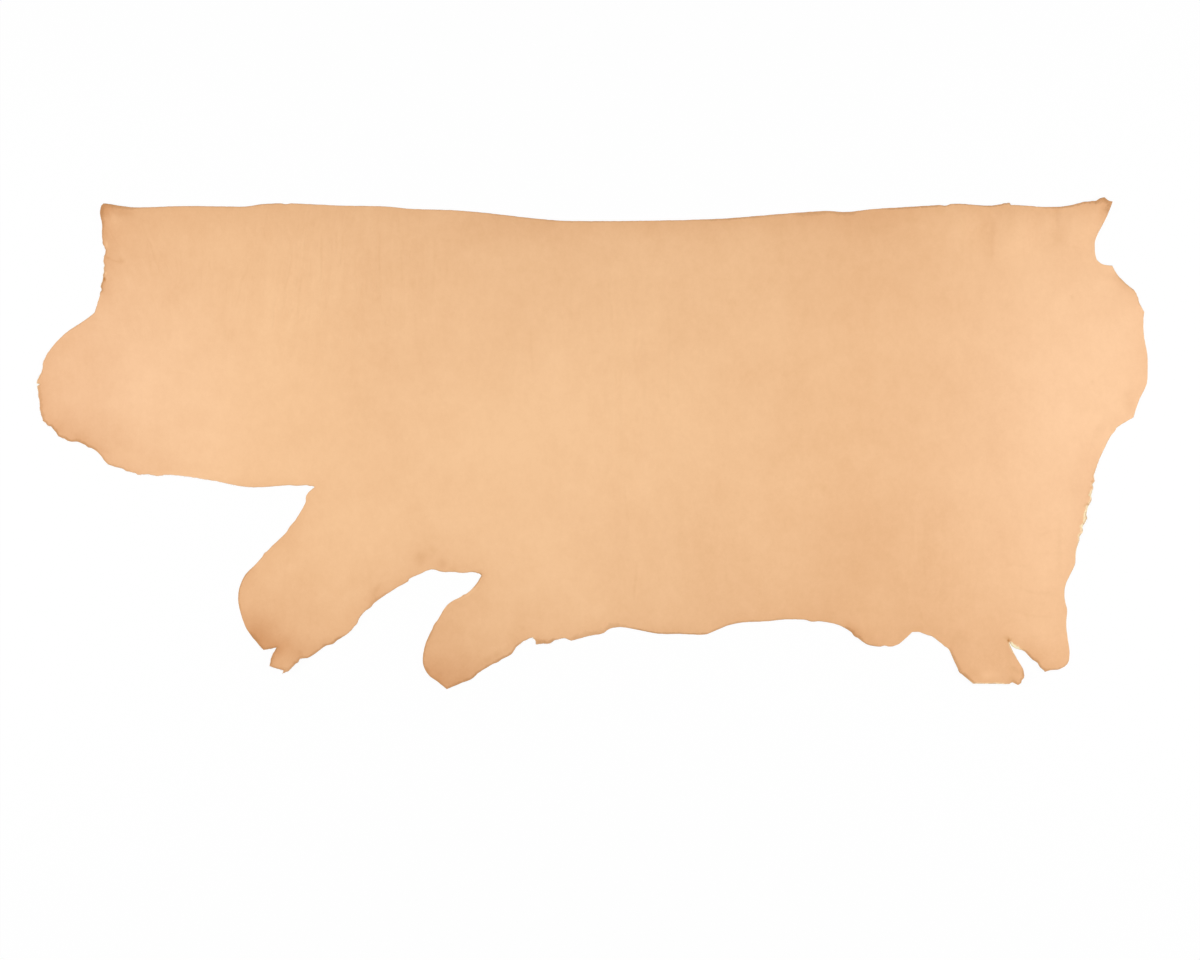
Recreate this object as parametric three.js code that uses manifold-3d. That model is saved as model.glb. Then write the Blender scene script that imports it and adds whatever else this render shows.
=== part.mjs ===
// A vegetable-tanned leather side: half of a cow hide, parted along the backbone, laid grain
// side up. It is one cut piece about 2.44 m long, with the neck and cheek at -X, the rump at
// +X, the straight backbone edge at +Y and the belly with its two shanks at -Y. The flesh side
// lies on the surface at z = 0. The rim, the soft fold across the middle, the ruffles of the
// rump edge and the corners that curl off the surface are part of the one sheet.
// Millimetres, +Z up, origin at the middle of the box that holds the hide, on the surface.

import * as THREE from "three";
import { mergeVertices } from "three/addons/utils/BufferGeometryUtils.js";
import Module from "manifold-3d";

// Driving dimensions.
const THICKNESS = 3; // a full-weight side, not split down
const RIM_CHORD = 14; // longest straight step along a curved stretch of the rim
const FACET = 18; // pitch of the facets where the hide stands off the surface
const TALLEST = 40; // more than any part of the hide rises
const MARGIN = 30; // what the uncut blank has around the rim

// The rim, clockwise from the front end of the backbone. A point is [along, out]: mm from the
// neck end toward the tail, and mm from the backbone toward the belly. A stretch starts where
// the one before it ends. A "curve" passes smoothly through its points, and a "cut" is straight
// from point to point.
const RIM = [
  { stretch: "front corner of the backbone", line: "curve",
    points: [[213, 22], [183, 19], [161, 15], [148, 14], [143, 19], [140, 32], [144, 58]] },
  { stretch: "poll", line: "curve",
    points: [[144, 58], [144, 91], [151, 115], [146, 135], [147, 155], [138, 214], [127, 253]] },
  { stretch: "cheek above its nick", line: "curve",
    points: [[127, 253], [111, 266], [64, 298], [40, 321], [22, 346], [15, 361], [13, 377], [1, 405]] },
  { stretch: "nick in the cheek", line: "cut",
    points: [[1, 405], [0, 409], [7, 411], [1, 415]] },
  { stretch: "cheek below its nick", line: "curve",
    points: [[1, 415], [5, 440], [7, 465], [14, 492]] },
  { stretch: "jaw", line: "cut",
    points: [[14, 492], [24, 502], [34, 506], [48, 525]] },
  { stretch: "throat", line: "curve",
    points: [[48, 525], [64, 531], [95, 539], [134, 560], [157, 587], [183, 595], [221, 610]] },
  { stretch: "underside of the neck", line: "curve",
    points: [[221, 610], [244, 609], [266, 613], [284, 610], [332, 614], [394, 624], [460, 637],
      [495, 637], [557, 633], [594, 633], [610, 639]] },
  { stretch: "front of the fore shank", line: "curve",
    points: [[610, 639], [597, 649], [591, 670], [576, 698], [550, 735], [513, 771], [482, 806],
      [460, 828], [448, 851], [443, 879], [448, 913], [464, 953], [488, 983], [499, 995]] },
  { stretch: "torn end of the fore shank", line: "cut",
    points: [[499, 995], [514, 992], [528, 992], [517, 1008], [513, 1030], [541, 1039], [540, 1046],
      [554, 1042], [580, 1014]] },
  { stretch: "back of the fore shank", line: "curve",
    points: [[580, 1014], [597, 1012], [615, 1001], [631, 989], [662, 973], [692, 952], [713, 920],
      [741, 893], [774, 869], [816, 845]] },
  { stretch: "elbow", line: "curve",
    points: [[816, 845], [819, 839], [843, 828], [867, 818], [887, 821], [920, 824], [966, 825],
      [977, 833]] },
  { stretch: "front of the fore flank", line: "curve",
    points: [[977, 833], [965, 852], [944, 872], [912, 889], [899, 901], [879, 934], [861, 966],
      [851, 997], [850, 1026], [861, 1049], [882, 1065], [902, 1081]] },
  { stretch: "back of the fore flank", line: "curve",
    points: [[902, 1081], [939, 1065], [972, 1045], [1008, 1023], [1045, 1003], [1054, 989],
      [1074, 974], [1090, 968], [1096, 975]] },
  { stretch: "step behind the fore flank", line: "cut",
    points: [[1096, 975], [1098, 983], [1129, 981], [1140, 974], [1160, 969], [1175, 975]] },
  { stretch: "front of the belly", line: "curve",
    points: [[1175, 975], [1217, 964], [1247, 958], [1257, 950], [1280, 945], [1327, 952],
      [1362, 959], [1415, 960], [1470, 961]] },
  { stretch: "belly", line: "curve",
    points: [[1470, 961], [1492, 953], [1518, 942], [1549, 935], [1604, 932], [1643, 928],
      [1676, 928], [1736, 934], [1762, 940], [1784, 951], [1806, 969], [1824, 982], [1846, 987],
      [1883, 987], [1894, 983], [1910, 970], [1925, 956]] },
  { stretch: "stifle", line: "curve",
    points: [[1925, 956], [1943, 956], [1967, 964], [1987, 979], [2002, 988], [2011, 1005],
      [2022, 1027], [2030, 1043]] },
  { stretch: "end of the hind shank", line: "cut",
    points: [[2030, 1043], [2043, 1055], [2058, 1069], [2138, 1070]] },
  { stretch: "back of the hind shank", line: "curve",
    points: [[2138, 1070], [2144, 1066], [2157, 1072], [2165, 1067], [2171, 1052], [2169, 1039],
      [2155, 1014], [2144, 992], [2138, 977]] },
  { stretch: "slit behind the hind shank", line: "curve",
    points: [[2138, 977], [2144, 986], [2153, 992], [2168, 996], [2200, 1021], [2216, 1043]] },
  { stretch: "rear lobe", line: "curve",
    points: [[2216, 1043], [2230, 1039], [2245, 1038], [2266, 1026], [2271, 1006], [2268, 973],
      [2264, 942], [2266, 907]] },
  { stretch: "hind flank", line: "curve",
    points: [[2266, 907], [2260, 879], [2262, 854], [2273, 829], [2283, 807], [2285, 780],
      [2293, 749]] },
  { stretch: "torn strip on the hind flank", line: "cut",
    points: [[2293, 749], [2301, 732], [2303, 722], [2310, 705], [2310, 689], [2319, 654],
      [2323, 638], [2321, 631], [2326, 625], [2325, 615]] },
  { stretch: "below the rump", line: "curve",
    points: [[2325, 615], [2330, 593], [2346, 556], [2363, 523], [2371, 513], [2374, 507],
      [2385, 499], [2411, 484]] },
  { stretch: "rump", line: "curve",
    points: [[2411, 484], [2425, 444], [2441, 410], [2443, 375], [2442, 344], [2435, 306],
      [2433, 274], [2435, 252]] },
  { stretch: "pin bone", line: "curve",
    points: [[2435, 252], [2423, 229], [2420, 211], [2400, 194], [2377, 171], [2365, 150]] },
  { stretch: "bay at the tail", line: "curve",
    points: [[2365, 150], [2345, 147], [2331, 137], [2327, 113], [2328, 94], [2339, 69],
      [2351, 45], [2365, 9]] },
  { stretch: "rear corner of the backbone", line: "curve",
    points: [[2365, 9], [2353, 2], [2346, 0], [2339, 2], [2329, 7], [2303, 10], [2279, 16],
      [2255, 20], [2213, 21], [2171, 18], [2142, 17]] },
  { stretch: "tuft on the backbone", line: "cut",
    points: [[2142, 17], [2139, 12], [2132, 13]] },
  { stretch: "backbone over the loin", line: "curve",
    points: [[2132, 13], [2097, 18], [2024, 14], [1978, 17], [1899, 22], [1833, 26], [1784, 32],
      [1736, 30], [1679, 33], [1558, 43], [1503, 47], [1415, 50]] },
  { stretch: "backbone over the shoulder", line: "curve",
    points: [[1415, 50], [1283, 52], [1151, 51], [1063, 43], [986, 34], [909, 28], [821, 25],
      [766, 20], [667, 18], [601, 15], [546, 13], [495, 15], [460, 20], [414, 20], [337, 19],
      [249, 21], [213, 22]] },
];

// Where the hide stands off the surface: a soft hump with its middle at [along, out], `long`
// one way and `wide` the other from its middle to its foot, turned by `turn` degrees from the
// backbone's direction toward the belly, and `rise` high.
const CURLS = [
  { at: "front corner of the backbone", along: 146, out: 12, long: 120, wide: 80, turn: 35, rise: 11 },
  { at: "front of the cheek", along: 0, out: 400, long: 60, wide: 110, turn: 0, rise: 5 },
  { at: "jaw", along: 90, out: 545, long: 140, wide: 62, turn: 22, rise: 8 },
  { at: "throat", along: 300, out: 620, long: 150, wide: 50, turn: 5, rise: 4 },
  { at: "end of the fore shank", along: 530, out: 1050, long: 150, wide: 105, turn: -35, rise: 14 },
  { at: "back of the fore shank", along: 720, out: 930, long: 120, wide: 50, turn: -45, rise: 4 },
  { at: "tip of the fore flank", along: 895, out: 1090, long: 130, wide: 90, turn: 70, rise: 10 },
  { at: "step behind the fore flank", along: 1115, out: 985, long: 80, wide: 60, turn: 0, rise: 5 },
  { at: "belly", along: 1640, out: 935, long: 190, wide: 55, turn: 0, rise: 5 },
  { at: "back of the belly", along: 1815, out: 985, long: 110, wide: 60, turn: 30, rise: 6 },
  { at: "front of the hind shank", along: 2045, out: 1075, long: 110, wide: 80, turn: -40, rise: 10 },
  { at: "back of the hind shank", along: 2165, out: 1070, long: 80, wide: 70, turn: 45, rise: 9 },
  { at: "tip of the rear lobe", along: 2222, out: 1050, long: 95, wide: 85, turn: 0, rise: 9 },
  { at: "torn strip on the hind flank", along: 2322, out: 670, long: 55, wide: 170, turn: 12, rise: 4 },
  { at: "corner below the rump", along: 2412, out: 490, long: 80, wide: 70, turn: 0, rise: 5 },
  { at: "pin bone", along: 2430, out: 215, long: 70, wide: 90, turn: 0, rise: 4 },
  { at: "rear corner of the backbone", along: 2362, out: 4, long: 100, wide: 80, turn: -30, rise: 12 },
];

// Soft folds: each is a ridge from one point to another, [along, out] in mm, `wide` from its
// crest to its foot and `rise` high, sinking to nothing over its last `fade` mm at each end.
const FOLDS = [
  { across: "the middle", from: [1250, 80], to: [1318, 910], wide: 44, rise: 3.2, fade: 150 },
  { across: "the loin edge", from: [2024, -30], to: [2040, 130], wide: 46, rise: 5, fade: 90 },
  { across: "the rump edge", from: [2150, -30], to: [2166, 150], wide: 48, rise: 6.5, fade: 100 },
  { across: "the tail edge", from: [2276, -30], to: [2258, 170], wide: 42, rise: 5.5, fade: 100 },
];

// A smooth step from 1 at zero to 0 at one and beyond.
function easeOut(share) {
  const t = Math.min(Math.abs(share), 1);
  return 0.5 + 0.5 * Math.cos(Math.PI * t);
}

function curlHeight({ along, out, long, wide, turn, rise }, a, o) {
  const angle = THREE.MathUtils.degToRad(turn);
  const u = (a - along) * Math.cos(angle) + (o - out) * Math.sin(angle);
  const v = (o - out) * Math.cos(angle) - (a - along) * Math.sin(angle);
  return rise * easeOut(Math.hypot(u / long, v / wide));
}

function foldHeight({ from, to, wide, rise, fade }, a, o) {
  const run = new THREE.Vector2(to[0] - from[0], to[1] - from[1]);
  const length = run.length();
  run.normalize();
  const onward = (a - from[0]) * run.x + (o - from[1]) * run.y;
  const aside = (o - from[1]) * run.x - (a - from[0]) * run.y;
  const nearEnd = Math.min(onward, length - onward);
  if (nearEnd <= 0) return 0;
  return rise * easeOut(aside / wide) * (1 - easeOut(nearEnd / fade));
}

// Height of the flesh side over the surface at a point of the hide.
function liftAt(a, o) {
  const curls = CURLS.map((curl) => curlHeight(curl, a, o));
  const folds = FOLDS.map((fold) => foldHeight(fold, a, o));
  return Math.max(...curls, ...folds);
}

// Points along a smooth curve through a stretch's points, the last one left to the next stretch.
function smoothRun(points) {
  const ends = points.map(([along, out]) => new THREE.Vector3(along, out, 0));
  const curve = new THREE.CatmullRomCurve3(ends, false, "centripetal");
  const run = [];
  for (let i = 0; i < ends.length - 1; i += 1) {
    const steps = Math.ceil(ends[i].distanceTo(ends[i + 1]) / RIM_CHORD);
    for (let s = 0; s < steps; s += 1) {
      const p = curve.getPoint((i + s / steps) / (ends.length - 1));
      run.push([p.x, p.y]);
    }
  }
  return run;
}

// A stretch's run of rim points, without the point where the next stretch starts.
function stretchRun({ line, points }) {
  return line === "curve" ? smoothRun(points) : points.slice(0, -1);
}

const rim = RIM.flatMap(stretchRun);
const flatRim = rim.map(([along, out]) => new THREE.Vector2(along, out));
const reach = new THREE.Box2().setFromPoints(flatRim);
const centre = reach.getCenter(new THREE.Vector2());
const size = reach.getSize(new THREE.Vector2());

// A tall prism on the rim: what the knife keeps.
function rimPrism() {
  const cut = flatRim.map((p) => new THREE.Vector2(p.x - centre.x, centre.y - p.y));
  const shape = new THREE.Shape(cut);
  const prism = new THREE.ExtrudeGeometry(shape, { depth: TALLEST + MARGIN, bevelEnabled: false });
  prism.translate(0, 0, -MARGIN);
  return prism;
}

// The uncut sheet, of even thickness, lying as the hide lies: rows of points FACET apart, where
// a row keeps its points only around the places that stand off the surface.
function sheetRows() {
  const columns = Math.round((size.x + 2 * MARGIN) / FACET);
  const rows = Math.round((size.y + 2 * MARGIN) / FACET);
  const along = (i) => reach.min.x - MARGIN + ((size.x + 2 * MARGIN) * i) / columns;
  const out = (j) => reach.min.y - MARGIN + ((size.y + 2 * MARGIN) * j) / rows;
  const near = [-1, 0, 1];
  const lifted = (i, j) => liftAt(along(i), out(j)) > 0;
  const standsOff = (i, j) => near.some((di) => near.some((dj) => lifted(i + di, j + dj)));
  const isKept = (i, j) => i === 0 || i === columns || standsOff(i, j);
  const point = (i, j) => {
    return new THREE.Vector3(along(i) - centre.x, centre.y - out(j), liftAt(along(i), out(j)));
  };
  const row = (j) => {
    const kept = [...Array(columns + 1).keys()].filter((i) => isKept(i, j));
    return kept.map((i) => point(i, j));
  };
  return [...Array(rows + 1).keys()].map(row);
}

// Triangles between two neighbouring rows, [nearer the backbone, nearer the belly].
function zipRows(upper, lower) {
  const triangles = [];
  let i = 0;
  let j = 0;
  while (i < upper.length - 1 || j < lower.length - 1) {
    const nextUpper = i < upper.length - 1 ? upper[i + 1].x : Infinity;
    const nextLower = j < lower.length - 1 ? lower[j + 1].x : Infinity;
    if (nextLower <= nextUpper) {
      triangles.push([upper[i], lower[j], lower[j + 1]]);
      j += 1;
    } else {
      triangles.push([upper[i], lower[j], upper[i + 1]]);
      i += 1;
    }
  }
  return triangles;
}

function lyingSheet() {
  const rows = sheetRows();
  const grain = (p) => new THREE.Vector3(p.x, p.y, p.z + THICKNESS);
  const corners = [];
  for (let r = 0; r < rows.length - 1; r += 1) {
    for (const [a, b, c] of zipRows(rows[r], rows[r + 1])) {
      corners.push(a, c, b, grain(a), grain(b), grain(c));
    }
  }
  const neckEnd = rows.map((row) => row[0]);
  const bellySide = rows[rows.length - 1].slice(1);
  const tailEnd = rows.map((row) => row[row.length - 1]).reverse().slice(1);
  const backboneSide = rows[0].slice(1, -1).reverse();
  const border = [...neckEnd, ...bellySide, ...tailEnd, ...backboneSide];
  border.forEach((a, k) => {
    const b = border[(k + 1) % border.length];
    corners.push(a, b, grain(b), a, grain(b), grain(a));
  });
  return new THREE.BufferGeometry().setFromPoints(corners);
}

const manifold = await Module();
manifold.setup();

function toSolid(geometry) {
  const bare = new THREE.BufferGeometry().setAttribute("position", geometry.attributes.position);
  const merged = mergeVertices(bare.setIndex(geometry.index));
  return new manifold.Manifold(new manifold.Mesh({
    numProp: 3,
    vertProperties: new Float32Array(merged.attributes.position.array),
    triVerts: new Uint32Array(merged.index.array),
  }));
}

function toGeometry(solid) {
  const mesh = solid.getMesh();
  const geometry = new THREE.BufferGeometry();
  geometry.setAttribute("position", new THREE.BufferAttribute(new Float32Array(mesh.vertProperties), 3));
  geometry.setIndex(new THREE.BufferAttribute(new Uint32Array(mesh.triVerts), 1));
  geometry.computeVertexNormals();
  return geometry;
}

const tannedGrain = new THREE.MeshStandardMaterial({ color: 0xf2c496, roughness: 0.62, metalness: 0 });

const cutHide = toSolid(lyingSheet()).intersect(toSolid(rimPrism()));
const leatherSide = new THREE.Mesh(toGeometry(cutHide), tannedGrain);
leatherSide.name = "leather_side";

const part = new THREE.Group();
part.add(leatherSide);

export default part;
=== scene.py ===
import math
from collections import namedtuple

import bmesh
import bpy
import numpy as np
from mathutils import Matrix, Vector, geometry, noise
from mathutils.bvhtree import BVHTree
from mathutils.kdtree import KDTree


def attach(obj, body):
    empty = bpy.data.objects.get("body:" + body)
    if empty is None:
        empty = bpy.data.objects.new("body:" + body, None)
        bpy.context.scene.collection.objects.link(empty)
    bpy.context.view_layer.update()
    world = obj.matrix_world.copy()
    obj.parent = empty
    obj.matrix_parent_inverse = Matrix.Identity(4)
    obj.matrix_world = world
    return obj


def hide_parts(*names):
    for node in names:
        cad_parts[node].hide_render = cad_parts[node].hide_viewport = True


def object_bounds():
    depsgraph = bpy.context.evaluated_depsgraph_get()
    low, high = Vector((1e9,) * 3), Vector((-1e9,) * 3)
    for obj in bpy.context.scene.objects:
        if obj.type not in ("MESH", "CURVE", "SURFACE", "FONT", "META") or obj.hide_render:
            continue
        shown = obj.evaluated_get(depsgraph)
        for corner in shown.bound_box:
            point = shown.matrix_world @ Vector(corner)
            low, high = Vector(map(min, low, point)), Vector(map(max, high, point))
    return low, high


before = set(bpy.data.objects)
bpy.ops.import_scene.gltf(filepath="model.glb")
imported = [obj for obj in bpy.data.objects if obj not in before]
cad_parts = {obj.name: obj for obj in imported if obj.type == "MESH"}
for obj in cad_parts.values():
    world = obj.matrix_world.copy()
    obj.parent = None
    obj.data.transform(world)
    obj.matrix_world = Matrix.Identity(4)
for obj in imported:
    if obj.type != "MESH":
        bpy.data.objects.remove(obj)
cad_low, cad_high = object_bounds()


# ---- How the hide lies ------------------------------------------------------------------
# Half of a cow hide, tanned with bark, pressed flat and dried: it lies on its flesh side and
# only its corners, shanks and the ruffled rump edge stand off the surface. The height of its
# flesh side comes from the hide in the frame, its facets rounded off, with very low swells.

HIDE_NODE = "leather_side"
MM = 0.001
WELD = 0.001 * MM
FACING_DOWN = -0.5  # the flesh side's facets have normals that rise less than this
UNDERNEATH = -1  # metres: lower than all of the hide
LAY_PITCH = 6 * MM  # between the places where the height is known
LAY_BORDER = 12  # such places kept around the hide
LAY_ROUNDS = 12  # of evening out
SWELL_HEIGHT = 2.4 * MM
SWELL_LENGTH = 0.30
SWELL_SPREAD = 0.4  # the more, the less of the hide lies quite flat
SWELL_SEED = 4.7


def flesh_side():
    """The flesh side of the hide in the frame, welded, without its edge and its grain side."""
    side = bmesh.new()
    side.from_mesh(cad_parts[HIDE_NODE].data)
    bmesh.ops.remove_doubles(side, verts=side.verts, dist=WELD)
    others = [f for f in side.faces if f.normal.z > FACING_DOWN]
    bmesh.ops.delete(side, geom=others, context="FACES")
    return side


def swell(x, y):
    wave = noise.noise(Vector((x / SWELL_LENGTH, y / SWELL_LENGTH, SWELL_SEED)))
    return SWELL_HEIGHT * max(0.0, SWELL_SPREAD + wave) ** 2


def lay_of(side):
    """A grid of heights of the flesh side, one row for each of lay_y."""
    tree = BVHTree.FromBMesh(side)

    def height(x, y):
        hit = tree.ray_cast(Vector((x, y, UNDERNEATH)), Vector((0, 0, 1)))[0]
        if hit is None:
            hit = tree.find_nearest(Vector((x, y, 0)))[0]
        return hit.z + swell(x, y)

    lift = np.array([[height(x, y) for x in lay_x] for y in lay_y])
    for _ in range(LAY_ROUNDS):
        wide = np.pad(lift, 1, mode="edge")
        beside = wide[1:-1, :-2] + wide[1:-1, 2:] + wide[:-2, 1:-1] + wide[2:, 1:-1]
        lift = lift / 2 + beside / 8  # halfway to the mean of the four beside it
    return lift


def flesh_height(points):
    """The height of the flesh side at [x, y] points, taken between the grid's places."""
    across = (points[:, 0] - lay_x[0]) / LAY_PITCH
    up = (points[:, 1] - lay_y[0]) / LAY_PITCH
    i = np.clip(across.astype(int), 0, len(lay_x) - 2)
    j = np.clip(up.astype(int), 0, len(lay_y) - 2)
    s, t = across - i, up - j
    near = lay[j, i] * (1 - s) + lay[j, i + 1] * s
    far = lay[j + 1, i] * (1 - s) + lay[j + 1, i + 1] * s
    return near * (1 - t) + far * t


border = LAY_BORDER * LAY_PITCH
lay_x = np.arange(cad_low.x - border, cad_high.x + border, LAY_PITCH)
lay_y = np.arange(cad_low.y - border, cad_high.y + border, LAY_PITCH)
flesh = flesh_side()
lay = lay_of(flesh)


# ---- The trimmed edge -------------------------------------------------------------------
# The side is trimmed round with a knife, so its edge is one long cut, a little wavy all the
# way. A few stretches were torn in the tannery's machines instead, and are ragged.

EDGE_STEP = 2.6 * MM
SHARP_TURN = math.radians(22)  # a corner that stays a corner
STRAIGHT = 0.02 * MM  # a point this near its neighbours' line isn't a corner
CALM_FROM, CALM_SPAN = 0.6, 0.35  # the cosine of a turn where waves start, and on to whole ones
WAVY = 0.3 * MM
TORN_END, TORN_RISE = 1.4, 2.5  # a torn stretch ends at 1.4 of its reach, and is whole within it

# The edge's waves: how long, how high for each unit of `WAVY` or `ragged`, and the noise's seed.
WAVES = ((31 * MM, 0.9, (0.3, 1.9)), (8 * MM, 1.3, (7.1, 2.6)))

# Where the edge is torn: within `reach` mm of the place (along, out) it strays by `ragged` mm.
# All places on the hide are in mm, `along` from the neck end toward the tail and `out` from
# the backbone toward the belly.
Torn = namedtuple("Torn", "name along out reach ragged")
TORN = [
    Torn("poll edge", 146, 168, 50, 1.5),
    Torn("front of the cheek", 3, 400, 62, 0.9),
    Torn("jaw", 30, 508, 50, 0.8),
    Torn("throat", 330, 615, 130, 0.6),
    Torn("end of the fore shank", 532, 1025, 48, 1.2),
    Torn("step behind the fore flank", 1110, 980, 46, 1.0),
    Torn("hind flank", 2312, 672, 80, 1.0),
    Torn("tuft on the backbone", 2137, 14, 12, 0.8),
]

# Where the knife slipped: at (along, out) the edge stands out by `reach` mm, or is cut in where
# that is negative, over `wide` mm to each side.
Nick = namedtuple("Nick", "name along out wide reach")
NICKS = [
    Nick("poll edge, upper notch", 150, 122, 13, -1.4),
    Nick("poll edge, lower notch", 140, 203, 7, -2.5),
    Nick("poll edge, between", 147, 101, 8, 2.5),
    Nick("crest", 548, 14, 12, -2),
    Nick("loin edge", 1998, 16, 14, -3),
    Nick("tail root", 2328, 7, 10, -2.5),
    Nick("tail tip", 2357, 4, 14, -3.5),
    Nick("pin bone", 2419, 213, 12, -2.5),
    Nick("hind flank, above the tear", 2317, 667, 12, 3.2),
    Nick("hind flank, in the tear", 2308, 699, 8, -2),
    Nick("hind flank, below the tear", 2300, 725, 13, -3.6),
    Nick("hind flank, its end", 2293, 745, 12, -4),
    Nick("rear lobe, front", 2190, 1012, 24, 3.8),
    Nick("rear lobe, tip", 2207, 1031, 12, 3.2),
    Nick("hind shank, back corner", 2166, 1062, 8, -2.4),
    Nick("hind shank, front", 1998, 986, 12, 2.4),
    Nick("hind shank, front corner", 2030, 1043, 10, 2),
    Nick("bay before the hind shank", 1956, 960, 18, 2.2),
    Nick("rear belly, where its lobe starts", 1799, 963, 10, 2),
    Nick("rear belly lobe", 1864, 986, 10, -2.4),
    Nick("belly bay", 1705, 930, 16, 2.6),
    Nick("fore flank, back edge", 955, 1058, 22, 3.6),
    Nick("fore flank, back edge, upper", 1013, 1020, 12, 2),
    Nick("fore flank, front", 875, 940, 14, 2),
    Nick("fore flank, bump", 938, 875, 7, 1.4),
    Nick("elbow bay", 974, 829, 8, -2.6),
    Nick("elbow bay, before", 938, 823, 20, 2.2),
    Nick("elbow bay, fore part", 893, 821, 22, 2),
    Nick("elbow", 732, 900, 12, 2.2),
    Nick("fore shank, back edge, upper", 703, 935, 12, 2),
    Nick("fore shank, back edge", 650, 980, 14, 2.8),
    Nick("fore shank, tongue", 573, 1021, 8, 2),
    Nick("fore shank, tip", 540, 1041, 9, -2.8),
    Nick("fore shank, notch", 526, 993, 8, -2.4),
    Nick("brisket", 501, 784, 9, 2),
    Nick("brisket, upper", 558, 724, 16, 2.2),
    Nick("throat bay, its end", 594, 658, 12, 2.2),
    Nick("throat bay, upper", 575, 632, 20, 1.8),
    Nick("throat bay", 608, 636, 9, -2.8),
    Nick("throat, a notch", 217, 605, 8, -2.4),
    Nick("throat, a bump", 197, 600, 8, 2),
    Nick("jaw, behind its tip", 114, 548, 9, 2.2),
    Nick("jaw, its tip", 75, 536, 15, 3.8),
    Nick("front of the jaw", 25, 501, 7, 2.8),
]


def place(along, out):
    """[x, y] in metres of a place on the hide given in mm."""
    return np.array([cad_low.x + along * MM, cad_high.y - out * MM])


def away_from(points, mark):
    """How far each point is from the place of a mark, in metres."""
    return np.linalg.norm(points - place(mark.along, mark.out), axis=1)


def outline_of(side):
    """The corners of the hide's outline, [x, y] in order, anticlockwise from above."""
    onward = {}
    for edge in side.edges:
        if edge.is_boundary:
            loop = edge.link_loops[0]
            onward[loop.link_loop_next.vert] = loop.vert
    runs = []
    while onward:
        start, vert = onward.popitem()
        run = [start]
        while vert is not start:
            run.append(vert)
            vert = onward.pop(vert)
        runs.append(run)
    outline = np.array([v.co[:2] for v in max(runs, key=len)])
    chord = np.roll(outline, -1, axis=0) - np.roll(outline, 1, axis=0)
    offset = outline - np.roll(outline, 1, axis=0)
    aside = np.abs(chord[:, 0] * offset[:, 1] - chord[:, 1] * offset[:, 0])
    return outline[aside > STRAIGHT * np.linalg.norm(chord, axis=1)]


def is_sharp(before, here, after):
    arriving, leaving = here - before, after - here
    turn = math.atan2(leaving[1], leaving[0]) - math.atan2(arriving[1], arriving[0])
    return abs(math.remainder(turn, 2 * math.pi)) > SHARP_TURN


def bend(a, b, c, d, share):
    """A point between b and c on the centripetal Catmull-Rom curve through all four."""
    t1 = math.sqrt(np.linalg.norm(b - a))
    t2 = t1 + math.sqrt(np.linalg.norm(c - b))
    t3 = t2 + math.sqrt(np.linalg.norm(d - c))
    t = t1 + (t2 - t1) * share

    def between(p, q, start, end):
        return p + (q - p) * (t - start) / (end - start)

    ab, bc, cd = between(a, b, 0, t1), between(b, c, t1, t2), between(c, d, t2, t3)
    return between(between(ab, bc, 0, t2), between(bc, cd, t1, t3), t1, t2)


def rounded(corners):
    """The outline with a point every EDGE_STEP, round between its sharp corners."""
    count = len(corners)
    sharp = [is_sharp(corners[i - 1], corners[i], corners[(i + 1) % count]) for i in range(count)]
    points = []
    for i in range(count):
        j = (i + 1) % count
        a, b = corners[i], corners[j]
        before = 2 * a - b if sharp[i] else corners[i - 1]
        after = 2 * b - a if sharp[j] else corners[(j + 1) % count]
        steps = math.ceil(np.linalg.norm(b - a) / EDGE_STEP)
        points += [bend(before, a, b, after, s / steps) for s in range(steps)]
    return np.array(points)


def outward(ring):
    """The ring's outward directions, one for each point."""
    along = np.roll(ring, -1, axis=0) - np.roll(ring, 1, axis=0)
    along /= np.linalg.norm(along, axis=1)[:, None]
    return np.column_stack([along[:, 1], -along[:, 0]])


def raggedness(points):
    """How far the edge strays at points of it, in metres."""
    stray = np.full(len(points), WAVY)
    for torn in TORN:
        share = np.clip(TORN_END - away_from(points, torn) / (torn.reach * MM), 0, 1)
        stray = np.maximum(stray, torn.ragged * MM * np.minimum(share * TORN_RISE, 1))
    return stray


def falling(share):
    """From 1 in the middle of a mark to 0 at its foot and beyond."""
    near = np.clip(share, 0, 1)
    return (1 - near**2) ** 2


def nicked(ring):
    """The ring with the slips of the knife, each moved straight out or in as a whole."""
    ways = outward(ring)
    moved = ring.copy()
    for nick in NICKS:
        away = away_from(ring, nick)
        strength = nick.reach * MM * falling(away / (nick.wide * MM))
        moved += strength[:, None] * ways[np.argmin(away)]
    return moved


def calm(ring):
    """1 where the ring runs straight, falling to 0 beside its sharp corners."""
    before, after = ring - np.roll(ring, 2, axis=0), np.roll(ring, -2, axis=0) - ring
    lengths = np.linalg.norm(before, axis=1) * np.linalg.norm(after, axis=1)
    cosine = np.sum(before * after, axis=1) / lengths
    share = np.clip((cosine - CALM_FROM) / CALM_SPAN, 0, 1)
    return np.min([np.roll(share, k) for k in (-1, 0, 1)], axis=0)


def strayed(ring):
    """The ring with its waves and its ragged stretches."""
    walked = np.cumsum(np.linalg.norm(ring - np.roll(ring, 1, axis=0), axis=1))
    wave = [
        sum(height * noise.noise(Vector((s / length, *seed))) for length, height, seed in WAVES)
        for s in walked
    ]
    return ring + outward(ring) * (calm(ring) * raggedness(ring) * np.array(wave))[:, None]


edge_ring = strayed(nicked(rounded(outline_of(flesh))))
flesh.free()
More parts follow.
